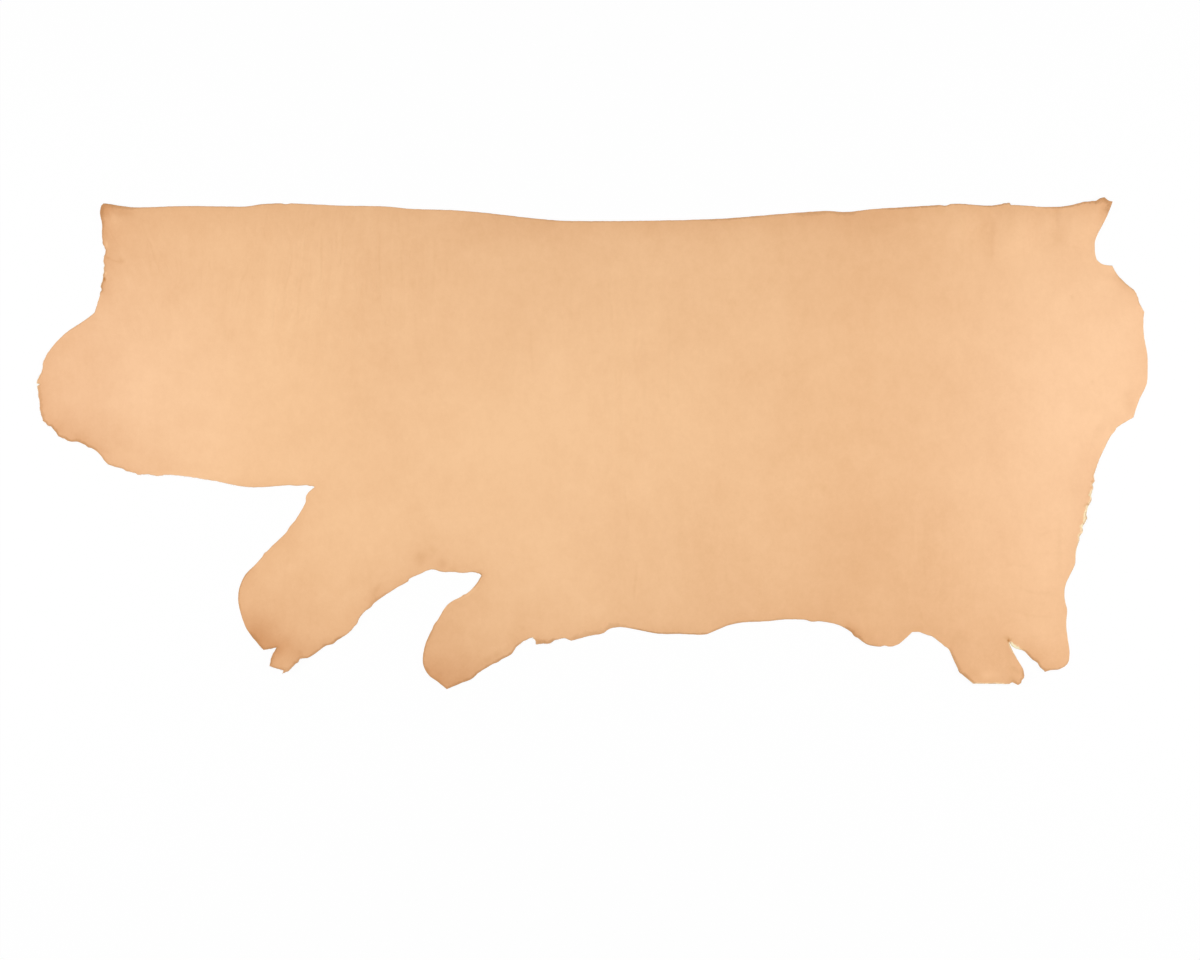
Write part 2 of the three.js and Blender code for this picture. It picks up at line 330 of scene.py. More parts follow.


# ---- Growth marks -----------------------------------------------------------------------
# The grain keeps the folds of the living skin: wrinkles across the neck and withers, fine
# creases in the flank and behind the shank, and the soft fold where the side was carried.
# They are troughs and ridges pressed in one by one, the troughs darker with painted
# shade and the ridges lighter with painted highlight.

# Lines: a `relief` (mm, up is a ridge) and a `tone` (more is darker, below 0 is lighter) along
# a `path` of places, falling away over `wide` mm to each side. `broken` lines come and go.
# A trough's darker tone is painted shade, a ridge's lighter tone painted highlight.
Line = namedtuple("Line", "name wide relief tone broken path")
LINES = [
    Line("pucker below the poll", 5, -0.4, 0.38, 0.3, [(150, 131), (169, 139), (188, 144)]),
    Line("poll, nearest the corner", 5, -0.2, 0.11, 0.5, [(156, 60), (169, 84), (183, 109)]),
    Line("poll, the straight one", 4.5, -0.32, 0.22, 0.3,
         [(233, 69), (251, 106), (266, 144), (282, 177)]),
    Line("poll, a short one", 4, -0.2, 0.15, 0.4, [(249, 126), (257, 177)]),
    Line("crest, front of a pair", 4, -0.24, 0.19, 0.5, [(306, 115), (308, 159), (306, 199)]),
    Line("crest, back of a pair", 4, -0.2, 0.15, 0.5, [(315, 115), (317, 160), (315, 199)]),
    Line("mid neck, short", 4, -0.2, 0.15, 0.4, [(363, 104), (365, 142)]),
    Line("mid neck, leaning", 4, -0.24, 0.15, 0.4, [(378, 120), (383, 153), (389, 181)]),
    Line("mid neck, the winding one", 5, -0.3, 0.19, 0.5,
         [(473, 93), (473, 126), (462, 164), (449, 188), (447, 214), (433, 249)]),
    Line("mid neck, near the backbone", 4, -0.2, 0.15, 0.4, [(495, 60), (502, 84), (510, 106)]),
    Line("base of the neck, first", 5, -0.32, 0.19, 0.4,
         [(557, 84), (561, 133), (552, 177), (546, 203), (548, 269)]),
    Line("base of the neck, longest", 5, -0.3, 0.19, 0.5,
         [(594, 82), (585, 164), (574, 241), (563, 346)]),
    Line("base of the neck, beside it", 4, -0.2, 0.15, 0.5, [(607, 115), (603, 186)]),
    Line("base of the neck, deepest", 5, -0.42, 0.29, 0.3, [(629, 67), (629, 170), (623, 210)]),
    Line("base of the neck, its end", 4.5, -0.28, 0.22, 0.4, [(649, 177), (636, 241)]),
    Line("withers, short", 4.5, -0.28, 0.22, 0.4, [(660, 78), (660, 126)]),
    Line("withers, a dash", 4, -0.24, 0.19, 0.2, [(673, 89), (673, 111)]),
    Line("withers, faint", 4.5, -0.24, 0.19, 0.5, [(700, 126), (702, 181), (704, 241)]),
    Line("withers, at the backbone", 4, -0.2, 0.15, 0.3, [(713, 71), (713, 100)]),
    Line("withers, the long straight one", 5, -0.2, 0.14, 0.4,
         [(752, 27), (752, 137), (752, 236), (748, 274)]),
    Line("shoulder, upper", 4, -0.24, 0.19, 0.4, [(796, 34), (796, 89)]),
    Line("shoulder, lower", 4.5, -0.28, 0.22, 0.5, [(803, 89), (803, 203)]),
    Line("shoulder, a dash", 4, -0.2, 0.15, 0.2, [(825, 181), (827, 203)]),
    Line("shoulder, the broken one", 4.5, -0.28, 0.22, 0.8, [(876, 82), (874, 150), (873, 219)]),
    Line("shoulder, beside it", 4, -0.2, 0.15, 0.2, [(887, 144), (887, 164)]),
    Line("shoulder, behind it", 4, -0.2, 0.15, 0.3, [(902, 142), (902, 175)]),
    Line("shoulder, last", 4, -0.16, 0.11, 0.2, [(964, 126), (964, 148)]),
    Line("blade, faint", 5, -0.16, 0.09, 0.5, [(772, 320), (779, 395)]),
    Line("ribs, first", 5, -0.16, 0.14, 0.5, [(1087, 252), (1089, 395)]),
    Line("ribs, second", 5, -0.16, 0.13, 0.5, [(1173, 181), (1175, 243), (1176, 269)]),
    Line("ribs, third", 5, -0.16, 0.12, 0.5, [(1188, 302), (1188, 351)]),
    Line("across the neck, first", 6.5, -0.16, 0.11, 0.5, [(275, 384), (341, 384)]),
    Line("across the neck, second", 6.5, -0.16, 0.11, 0.5, [(425, 379), (447, 379)]),
    Line("cheek, upper", 5, -0.2, 0.09, 0.6, [(24, 394), (55, 392), (92, 398)]),
    Line("cheek, lower", 5, -0.2, 0.09, 0.6, [(20, 412), (60, 408), (90, 414)]),
    Line("fold, dark above", 6.5, -0.24, 0.19, 0.5, [(1258, 137), (1263, 247), (1265, 318)]),
    Line("fold, ridge in the middle", 7, 0.4, -0.1, 0.4, [(1267, 324), (1267, 467), (1268, 604)]),
    Line("fold, trough behind the ridge", 6.5, -0.24, 0.15, 0.7,
         [(1283, 401), (1283, 522), (1285, 610)]),
    Line("fold, lower ridge", 7, 0.4, -0.1, 0.5,
         [(1298, 500), (1302, 555), (1307, 615), (1318, 687)]),
    Line("fold, lower trough", 5, -0.24, 0.15, 0.5, [(1294, 610), (1296, 659), (1298, 742)]),
    Line("fold, its sharp end", 5, -0.4, 0.3, 0.3, [(1320, 804), (1318, 841), (1313, 885)]),
    Line("fold, behind", 6.5, -0.2, 0.11, 0.5, [(1318, 269), (1318, 412)]),
    Line("fold, a dash behind", 6.5, -0.2, 0.11, 0.3, [(1335, 406), (1335, 461)]),
    Line("second fold", 6, -0.25, 0.17, 0.5, [(1390, 219), (1390, 461)]),
    Line("third fold", 6, -0.2, 0.1, 0.5, [(1454, 247), (1454, 390)]),
    Line("across the folds", 6, -0.2, 0.1, 0.3, [(1338, 533), (1393, 566)]),
    Line("belly, before the fold", 6, -0.2, 0.1, 0.4, [(1197, 885), (1197, 950)]),
    Line("belly, behind the fold", 6, -0.2, 0.1, 0.4, [(1514, 758), (1514, 852)]),
    Line("thigh, ridge", 8, 0.5, -0.1, 0.3, [(1936, 727), (1929, 775), (1923, 819)]),
    Line("thigh, trough", 6.5, -0.32, 0.15, 0.4, [(1951, 696), (1951, 806), (1951, 881)]),
    Line("belly edge, leaning ridge", 8, 0.4, -0.1, 0.3, [(1753, 793), (1780, 766)]),
    Line("belly edge, bent ridge", 7, 0.5, -0.1, 0.3,
         [(1786, 832), (1795, 885), (1811, 903), (1815, 952)]),
    Line("hind flank, trough", 9, -0.9, 0.3, 0.3, [(2248, 727), (2247, 780), (2248, 824)]),
    Line("rear lobe, first", 6.5, -0.32, 0.19, 0.3, [(2145, 859), (2198, 870), (2251, 874)]),
    Line("rear lobe, second", 6.5, -0.32, 0.19, 0.3, [(2127, 907), (2185, 920), (2246, 927)]),
    Line("rear lobe, third", 6.5, -0.28, 0.15, 0.4, [(2158, 967), (2207, 967), (2251, 960)]),
    Line("above the rear lobe, rising", 6.5, -0.24, 0.15, 0.4, [(2193, 749), (2251, 731)]),
    Line("above the rear lobe, level", 6.5, -0.24, 0.15, 0.4, [(2207, 780), (2251, 786)]),
    Line("above the rear lobe, arched", 6.5, -0.24, 0.15, 0.4, [(2110, 815), (2149, 806), (2189, 815)]),
    Line("hind shank, first", 5, -0.24, 0.19, 0.4, [(1943, 918), (1952, 930), (1960, 942)]),
    Line("fore shank", 6.5, -0.28, 0.15, 0.3, [(557, 775), (550, 820), (546, 859)]),
    Line("elbow", 9, -0.5, 0.25, 0.3, [(759, 837), (748, 862), (735, 890)]),
    Line("fore flank, pale line by the bay", 4, 0.3, -0.45, 0.3,
         [(921, 885), (934, 880), (947, 872), (960, 862), (972, 851)]),
    Line("pin bone, beside the edge", 13, -0.6, 0.3, 0.3, [(2334, 160), (2378, 184), (2411, 215)]),
    Line("below the rump, upper", 17, -0.4, 0.32, 0.3, [(2398, 423), (2402, 455), (2400, 480)]),
    Line("below the rump, lower", 16, -0.4, 0.3, 0.3, [(2350, 494), (2334, 515), (2321, 544)]),
]

# Spots: a soft mark with its middle at (along, out), `long` one way and `across` the other
# from its middle to its foot, turned by `turn` degrees toward the belly. A `sharp` one falls
# away that much sooner on the side that faces the tail, or the backbone if it isn't turned.
# A sunken spot's dark tone is painted shade, a raised one's light tone painted highlight.
Spot = namedtuple("Spot", "name along out long across turn sharp relief tone")
SPOTS = [
    Spot("corner, the dark curl", 150, 26, 34, 13, 60, 0, -0.9, 0.55),
    Spot("corner, behind the curl", 196, 32, 34, 13, 6, 0.3, -0.6, 0.45),
    Spot("corner, the bright crown", 172, 50, 30, 18, 20, 0, 1.0, -0.2),
    Spot("poll edge, upper", 152, 72, 30, 10, 90, 0, -0.6, 0.35),
    Spot("poll edge, lower", 146, 184, 28, 10, 90, 0, -0.5, 0.35),
    Spot("pucker, its foot", 187, 139, 13, 9, 30, 0, -0.4, 0.5),
    Spot("poll edge, a dark nick", 149, 180, 6.5, 4.5, 80, 0, -0.5, 3),
    Spot("poll edge, at the notch", 154, 132, 10, 4.5, 0, 0, -0.4, 0.7),
    Spot("poll edge, a pale fleck", 151, 166, 6, 4, 60, 0, 0.3, -0.9),
    Spot("poll edge, a second fleck", 154, 103, 12, 5, 80, 0, 0.3, -0.6),
    Spot("neck, dark patch", 304, 216, 34, 22, 100, 0, -0.4, 0.16),
    Spot("neck, small patch", 410, 157, 24, 16, 70, 0, -0.3, 0.12),
    Spot("neck, low patch", 420, 300, 30, 18, 60, 0, -0.3, 0.12),
    Spot("shoulder, dark blob", 902, 93, 17, 10, 0, 0, -0.3, 0.2),
    Spot("shoulder, beside the blob", 932, 96, 14, 8, 0, 0, -0.3, 0.12),
    Spot("shoulder, low dash", 868, 168, 8, 24, 0, 0, -0.3, 0.12),
    Spot("ribs, small patch", 1112, 268, 16, 10, 20, 0, -0.2, 0.14),
    Spot("ribs, second patch", 1236, 194, 14, 10, 0, 0, -0.2, 0.14),
    Spot("ribs, low patch", 1226, 338, 18, 12, 0, 0, -0.2, 0.14),
    Spot("behind the fold", 1320, 522, 18, 14, 0, 0, -0.2, 0.14),
    Spot("behind the fold, lower", 1350, 560, 26, 8, -30, 0, -0.2, 0.12),
    Spot("fold, its low end", 1256, 596, 14, 10, 30, 0, -0.2, 0.12),
    Spot("belly, a pair of patches", 1480, 772, 22, 16, 0, 0, -0.2, 0.12),
    Spot("belly, beside the pair", 1562, 800, 14, 10, 0, 0, -0.2, 0.12),
    Spot("flank, small dark", 1730, 640, 12, 14, 0, 0, -0.2, 0.14),
    Spot("flank, dark", 1850, 676, 34, 20, 60, 0, -0.3, 0.14),
    # Along the loin edge: painted shadow beside the raised edge, painted highlight on the bright spot.
    Spot("loin edge, dark", 1926, 44, 34, 20, 0, 0.3, -0.9, 0.26),
    Spot("loin edge, before the dark", 1868, 60, 44, 22, 0, 0, -0.5, 0.12),
    Spot("loin edge, bright", 1952, 66, 24, 18, 90, 0, 0.6, -0.15),
    Spot("loin edge, second dark", 1986, 28, 16, 12, 0, 0, -0.5, 0.2),
    Spot("loin, faint band", 1912, 86, 46, 10, 14, 0, -0.4, 0.1),
    # Over the rump: painted shade in the troughs, painted highlight on the crowns between them.
    Spot("rump, long trough", 2100, 80, 98, 52, 90, 0.8, -2.0, 0.42),
    Spot("rump, before the trough", 2040, 60, 54, 26, 90, 0, 1.0, -0.06),
    Spot("rump, behind the trough", 2146, 84, 92, 44, 86, 0, 1.8, -0.1),
    Spot("rump, second trough", 2201, 44, 38, 14, 90, 0.4, -0.7, 0.18),
    Spot("rump, low in the second", 2196, 82, 34, 9, 86, 0, -0.3, 0.06),
    Spot("rump, between the troughs", 2220, 50, 34, 12, 90, 0, 0.8, -0.1),
    Spot("rump, third trough", 2243, 36, 34, 14, 90, 0.4, -1.0, 0.3),
    Spot("rump, low patch", 2249, 86, 46, 26, 90, 0, -1.0, 0.26),
    Spot("rump, last low patch", 2282, 112, 22, 9, 60, 0, -0.6, 0.16),
    Spot("rump, crown by the tail", 2303, 86, 40, 24, 90, 0, 1.2, -0.16),
    Spot("tail root, dark at the edge", 2318, 12, 15, 5.5, 0, 0, -0.3, 0.4),
    Spot("tail, dark streak", 2344, 26, 34, 13, 104, 0, -0.8, 0.45),
    Spot("dot below the tail", 2277, 219, 8, 7, 0, 0, -0.3, 0.25),
    Spot("dot on the rump", 2321, 406, 8, 7, 0, 0, -0.3, 0.22),
    Spot("ring on the thigh", 1987, 824, 20, 18, 0, 0, -0.3, 0.1),
    Spot("belly edge, first dark", 1782, 744, 44, 15, 0, 0, -0.4, 0.13),
    Spot("belly edge, its start", 1822, 730, 16, 20, 20, 0, -0.4, 0.14),
    Spot("belly edge, second dark", 1881, 794, 30, 16, 40, 0, -0.4, 0.16),
    Spot("hind shank, dark", 2026, 964, 32, 22, 40, 0, -0.6, 0.2),
    # A shallow pit painted near black: painted shadow in the hole.
    Spot("hind shank, pin hole", 2137.5, 974.5, 6.5, 4.2, 50, 0, -0.9, 4.5),
    Spot("hind shank, back corner", 2150, 1040, 22, 12, 30, 0, -0.5, 0.35),
    Spot("hind shank, at its end", 2146, 1060, 18, 10, 0, 0, -0.5, 0.45),
    Spot("hind shank, pale end", 2092, 1050, 42, 14, 0, 0, 0.4, -0.25),
    Spot("hind shank, corner shade", 2064, 1042, 22, 16, 40, 0, -0.4, 0.25),
    Spot("fore shank, strong dot", 843, 797, 24, 18, 100, 0, -0.5, 0.32),
    Spot("fore shank, small dot", 892, 806, 17, 13, 80, 0, -0.4, 0.3),
    Spot("fore shank, faint dots", 913, 818, 12, 10, 20, 0, -0.3, 0.25),
    Spot("fore shank, faint dot", 873, 775, 14, 10, 0, 0, -0.2, 0.16),
    Spot("elbow, at the notch", 976, 829, 12, 9, 30, 0, -0.5, 0.5),
    Spot("elbow, its dark patch", 744, 874, 36, 20, -57, 0, -0.4, 0.1),
    Spot("fore shank, front corner", 498, 966, 60, 28, 50, 0, -1.0, 0.3),
    Spot("fore shank, tongue", 552, 1006, 34, 24, 60, 0, 1.2, -0.06),
    Spot("fore shank, behind the tongue", 581, 1003, 15, 9, 60, 0, -0.6, 0.45),
    Spot("fore shank, back edge", 628, 988, 55, 16, -32, 0, -0.6, 0.3),
    Spot("fore flank, dot", 860, 1040, 12, 10, 0, 0, -0.4, 0.35),
    Spot("fore flank, dot at the edge", 889, 1048, 13, 10, 0, 0, -0.4, 0.4),
    Spot("fore flank, tip", 911, 1070, 18, 12, 0, 0, -0.4, 0.5),
    Spot("fore flank, back edge", 1002, 1014, 66, 15, -32, 0, -0.6, 0.35),
    Spot("fore flank, small dark", 1066, 948, 14, 10, 30, 0, -0.4, 0.2),
    Spot("fore flank, dots behind", 1046, 964, 18, 9, 30, 0, -0.4, 0.2),
    Spot("fore flank, soft dark", 830, 886, 14, 10, 0, 0, -0.3, 0.14),
    Spot("step, dark", 1112, 976, 18, 8, 0, 0, -0.5, 0.8),
    Spot("fore flank, bump on the edge", 937, 874, 12, 8, -40, 0, 0.6, 0.16),
    Spot("jaw, dark curl", 112, 540, 36, 17, 28, 0, -0.7, 0.3),
    Spot("jaw, second curl", 150, 556, 22, 10, 20, 0, -0.5, 0.3),
    Spot("jaw, dark at its tip", 91, 527, 22, 16, 20, 0, -0.4, 0.28),
    Spot("front of the jaw, dark", 50, 508, 24, 16, 60, 0, -0.4, 0.25),
    Spot("jaw, bright band", 190, 560, 60, 18, 24, 0, 0.9, -0.15),
    Spot("cheek, dark patch", 64, 326, 34, 18, -50, 0, -0.5, 0.2),
    # Small pits in the torn strip, painted dark: painted shadow in the holes.
    Spot("torn strip, first dot", 2322, 625, 7, 5, 0, 0, -0.5, 1.4),
    Spot("torn strip, a dot below it", 2319, 638, 5, 4, 0, 0, -0.4, 1.2),
    Spot("torn strip, second dot", 2311, 675, 6, 4.5, 20, 0, -0.5, 2.4),
    Spot("torn strip, beside the second", 2304, 678, 6, 5, 80, 0, -0.3, 0.8),
    Spot("torn strip, third dot", 2308, 705, 8, 4, 60, 0, -0.5, 1.8),
    Spot("torn strip, last dot", 2302, 718, 6, 4, 60, 0, -0.4, 1.1),
    Spot("torn strip, a dash", 2314, 652, 12, 4, 80, 0, -0.3, 0.7),
]

# Patches: by how many `percent` the bark has tanned a large soft area darker. Thin skin and
# skin near the edge takes more of it, the thick rump and the middle of the back less; the
# rump's lighter patch holds painted sheen as well.
Patch = namedtuple("Patch", "name along out long across turn percent")
PATCHES = [
    Patch("middle of the side", 1240, 500, 420, 290, 0, -8),
    Patch("middle, toward the back", 1290, 280, 180, 110, 0, -3),
    Patch("middle, before the fold", 960, 560, 280, 250, 0, -7),
    Patch("brisket", 1060, 780, 230, 150, 0, -7),
    Patch("brisket, at the elbow", 730, 710, 250, 140, 0, -6),
    Patch("neck", 390, 434, 330, 230, 0, -7),
    Patch("neck, its base", 560, 250, 160, 180, 0, -6),
    Patch("blade", 670, 430, 110, 220, 0, -3),
    Patch("throat", 530, 620, 210, 80, -4, -8),
    Patch("throat, toward the jaw", 350, 580, 170, 90, 0, -6),
    Patch("point of the shoulder", 690, 560, 130, 120, 0, -3),
    Patch("behind the shoulder", 900, 195, 60, 60, 0, -2),
    # lighter on the rump: partly its own lighter tan, partly painted sheen
    Patch("rump", 2350, 445, 260, 430, 0, -9),
    Patch("rump, below", 2200, 560, 130, 140, 0, -3),
    Patch("croup", 2185, 225, 190, 190, 0, -3),
    Patch("below the rump", 2370, 510, 90, 100, 0, -4),
    Patch("loin", 1850, 180, 330, 220, 0, 7),
    Patch("loin, at the backbone", 1877, 60, 150, 80, 0, 4),
    Patch("loin, at the edge", 1725, 50, 200, 60, 0, 5),
    Patch("loin, toward the rump", 2090, 240, 120, 130, 0, 2),
    Patch("flank", 1855, 490, 320, 330, 0, 4),
    Patch("rear belly", 1833, 863, 380, 250, 0, 8),
    Patch("rear belly, upper", 1800, 720, 280, 150, 0, 5),
    Patch("rear belly, by the thigh", 1990, 680, 140, 120, 0, 4),
    Patch("rear belly, its lobe", 1850, 985, 90, 60, 0, 6),
    Patch("belly, fore", 1520, 850, 150, 130, 0, 4),
    Patch("thigh", 2040, 907, 210, 190, 0, 5),
    Patch("hind shank", 2070, 1030, 150, 110, 0, 10),
    Patch("hind flank, at the edge", 2264, 790, 105, 250, 0, -6),
    Patch("rear lobe", 2220, 1010, 90, 60, 0, 7),
    Patch("fore shank", 505, 975, 220, 170, -40, 14),
    Patch("fore shank, its front", 486, 968, 100, 70, 40, 16),
    Patch("fore shank, its tongue", 566, 990, 60, 50, 0, 11),
    Patch("fore flank", 909, 1020, 180, 140, 0, 8),
    Patch("fore flank, its tip", 885, 1054, 130, 80, -10, 20),
    Patch("cheek", 30, 455, 150, 200, 0, 6),
    Patch("cheek, its middle", 140, 380, 110, 160, 0, 6),
    Patch("jaw", 110, 520, 170, 90, 20, 9),
    Patch("poll", 190, 80, 160, 170, 0, 6),
    Patch("poll, the corner", 150, 40, 90, 80, 0, 10),
    Patch("poll, its edge", 165, 130, 60, 110, 0, 3),
    Patch("poll, below its edge", 190, 240, 50, 60, 0, 4),
    Patch("neck, upper", 300, 170, 120, 90, 0, 2),
    Patch("withers", 740, 120, 90, 90, 0, 3),
    Patch("back", 1020, 70, 220, 70, 0, 5),
    Patch("back, before the loin", 1440, 60, 130, 50, 0, 3),
    Patch("belly, its fore part", 1240, 900, 160, 80, 0, -3),
    Patch("throat, behind the jaw", 262, 572, 70, 44, 0, 4),
    Patch("cheek, upper", 140, 345, 90, 60, 35, 3),
    Patch("front of the cheek", 12, 446, 26, 50, 0, 4),
    Patch("poll, inside its lower edge", 158, 208, 26, 48, 0, 4),
    Patch("fore shank, upper front", 495, 870, 60, 80, 0, 3),
    Patch("fore flank, upper", 1060, 822, 70, 60, 0, 3),
    Patch("fore flank, its middle", 900, 970, 60, 60, 0, 3),
    Patch("tail ear", 2330, 20, 70, 60, 0, 4),
    Patch("tail ear, behind", 2350, 130, 70, 120, 0, -5),
    Patch("pin bone", 2420, 260, 50, 70, 0, -6),
    Patch("tail tip", 2354, 14, 34, 40, 0, 10),
    Patch("corner of the poll", 148, 22, 36, 30, 0, 16),
    Patch("crest", 330, 60, 120, 50, 0, 3),
    Patch("throat edge", 350, 616, 130, 24, 0, -6),
    Patch("tail bay", 2360, 150, 34, 44, 0, -3),
    Patch("hind shank, its end", 2100, 1058, 56, 18, 0, -3),
    Patch("elbow bay, fore part", 857, 815, 44, 26, 0, -3),
    Patch("above the elbow bay", 880, 782, 60, 30, 0, 2),
    Patch("fore shank, at the strong dot", 843, 797, 28, 23, 100, 8),
    Patch("fore shank, at the small dot", 892, 806, 22, 18, 80, 8),
    Patch("elbow", 742, 878, 44, 26, -57, 5),
    Patch("thigh, upper", 2110, 765, 80, 70, 0, 4),
    Patch("flank, low", 1790, 620, 90, 70, 0, 3),
    Patch("croup, toward the tail", 2260, 150, 70, 110, 0, 3),
    Patch("rump edge", 2180, 20, 80, 30, 0, 3),
    Patch("belly edge", 1530, 930, 70, 40, 0, 3),
    Patch("rear belly, where its lobe starts", 1794, 958, 34, 26, 40, 11),
    Patch("rear lobe, its back", 2264, 960, 20, 70, 0, -2),
    Patch("rear belly lobe, its back", 1900, 976, 90, 26, 0, -2),
]

# Where the tan is rosy rather than golden, and by how many percent: the thin neck and cheek,
# and the rump.
ROSY = [
    Patch("neck and cheek", 80, 430, 530, 520, 0, 100),
    Patch("rump and thigh", 2440, 500, 720, 860, 0, 115),
]
EDGE_DARKER = 9.5  # percent, at the edge itself
EDGE_FADE = 48 * MM
BROWN_DARKER = 10  # percent more, where the edge is browned
BROWN_FADE = 14 * MM

# The fine wrinkles that lie between those above: where they show, and how much, in percent.
CREASED = [
    Patch("shoulder and neck", 640, 190, 500, 300, 0, 100),
    Patch("poll", 260, 180, 180, 220, 0, 60),
    Patch("carrying fold", 1300, 420, 190, 460, 0, 60),
    Patch("rump edge", 2150, 60, 260, 160, 0, 45),
    Patch("fore shank", 640, 820, 260, 160, -40, 50),
    Patch("thigh", 1980, 820, 180, 200, 0, 50),
]
PLAIN_CREASED = 8  # percent, everywhere else

# Which way the fine wrinkles lean, in degrees toward the tail, at places along the neck.
LEAN = ((150, 27), (250, 18), (350, 2), (450, -10), (650, -8), (760, 0))
LEAN_FROM, LEAN_TO = 150, 420  # mm out: they turn about the first, and run straight past the second

# How a mark strays from its plain shape: over what length, and how far, along and out.
WANDER = ((70 * MM, 5 * MM), (17 * MM, 1.8 * MM))
WANDER_SEEDS = (3.1, 8.4)
SMALL_SPOT = 16  # mm: a spot narrower than this is a plain oval, and gets points of its own
LINE_FADE, LINE_END = 0.3, 0.25  # the share of a line that each end takes, and its strength there
GAP_LENGTH = 14 * MM  # of the gaps in a broken line
GAP_FROM, GAP_DEEP, GAP_SWING = -0.4, 0.5, 1.2  # the noise where gaps open, and how they deepen


def wandered(points):
    """Points moved a little, so that what is looked up there has no plain shape."""
    moved = points.copy()
    for length, reach in WANDER:
        for k, (x, y) in enumerate(points / length):
            moved[k] += [reach * noise.noise(Vector((x, y, seed))) for seed in WANDER_SEEDS]
    return moved


def beside_path(points, path):
    """Each point's distance from a path, how far along it that is, and the path's length."""
    best = np.full(len(points), np.inf)
    walked = np.zeros(len(points))
    done = 0.0
    for a, b in zip(path[:-1], path[1:]):
        run = b - a
        length = np.linalg.norm(run)
        share = np.clip((points - a) @ run / length**2, 0, 1)
        away = np.linalg.norm(points - a - share[:, None] * run, axis=1)
        nearer = away < best
        best[nearer] = away[nearer]
        walked[nearer] = done + share[nearer] * length
        done += length
    return best, walked, done


def line_path(line):
    return [place(*p) for p in line.path]


def line_strength(points, line):
    away, walked, length = beside_path(points, line_path(line))
    near_end = np.clip(np.minimum(walked, length - walked) / (LINE_FADE * length), 0, 1)
    strength = falling(away / (line.wide * MM)) * (LINE_END + (1 - LINE_END) * near_end)
    seed = line.path[0][0] * 0.37  # each line's gaps are its own
    for k in np.flatnonzero(strength):
        gap = noise.noise(Vector((walked[k] / GAP_LENGTH, seed, 0)))
        if gap > GAP_FROM:
            strength[k] *= 1 - line.broken * (GAP_DEEP + GAP_SWING * gap)
    return np.clip(strength, 0, 1)


def round_strength(points, mark, sharp=0.0):
    """The strength of a spot or a patch."""
    angle = math.radians(mark.turn)
    offset = (points - place(mark.along, mark.out)) / MM
    u = offset[:, 0] * math.cos(angle) - offset[:, 1] * math.sin(angle)
    v = offset[:, 1] * math.cos(angle) + offset[:, 0] * math.sin(angle)
    across = np.where(v > 0, mark.across * (1 - sharp), mark.across)
    return falling(np.hypot(u / mark.long, v / across))


def is_small(spot):
    return min(spot.long, spot.across) < SMALL_SPOT


def marks_at(points):
    """The relief in metres, and the tone, of all lines and spots at [x, y] points."""
    relief, tone = np.zeros(len(points)), np.zeros(len(points))
    strayed_points = wandered(points)
    marked = [(line_strength(strayed_points, line), line) for line in LINES]
    for spot in SPOTS:
        looked_up = points if is_small(spot) else strayed_points
        marked.append((round_strength(looked_up, spot, spot.sharp), spot))
    # the tone darkens troughs and pits with painted shade and lightens ridges with painted highlight
    for strength, mark in marked:
        relief += strength * mark.relief * MM
        tone += strength * mark.tone
    return relief, tone


def rosy_at(points):
    """How rosy the tan is at [x, y] points, as a share."""
    return sum(patch.percent * round_strength(points, patch) for patch in ROSY) / 100


def depth_at(points, rim, brown):
    """How much darker than the plain tan the hide is at [x, y] points, as a share."""
    depth = EDGE_DARKER * np.exp(-rim / EDGE_FADE) + BROWN_DARKER * brown * np.exp(-rim / BROWN_FADE)
    for patch in PATCHES:
        depth += patch.percent * round_strength(points, patch)
    return depth / 100


def creased_at(points):
    """How much the fine wrinkles show at [x, y] points, as a share."""
    shares = [patch.percent * round_strength(points, patch) for patch in CREASED]
    return np.maximum(np.max(shares, axis=0), PLAIN_CREASED) / 100


def fan_at(points):
    """How far along the hide the fine wrinkle through each [x, y] point starts, in metres."""
    along = (points[:, 0] - cad_low.x) / MM
    out = (cad_high.y - points[:, 1]) / MM
    lean = np.interp(along, *zip(*LEAN))
    return points[:, 0] - (np.minimum(out, LEAN_TO) - LEAN_FROM) * np.tan(np.radians(lean)) * MM


# ---- The browned and the raw edge -------------------------------------------------------
# The thin outer skin took most of the bark and dried first: at the tips, on the shanks and
# the jaw a brown band runs along the edge, a few mm deep. Where the hide was torn or pared
# away toward the edge, a strip of raw pale fibre shows instead.

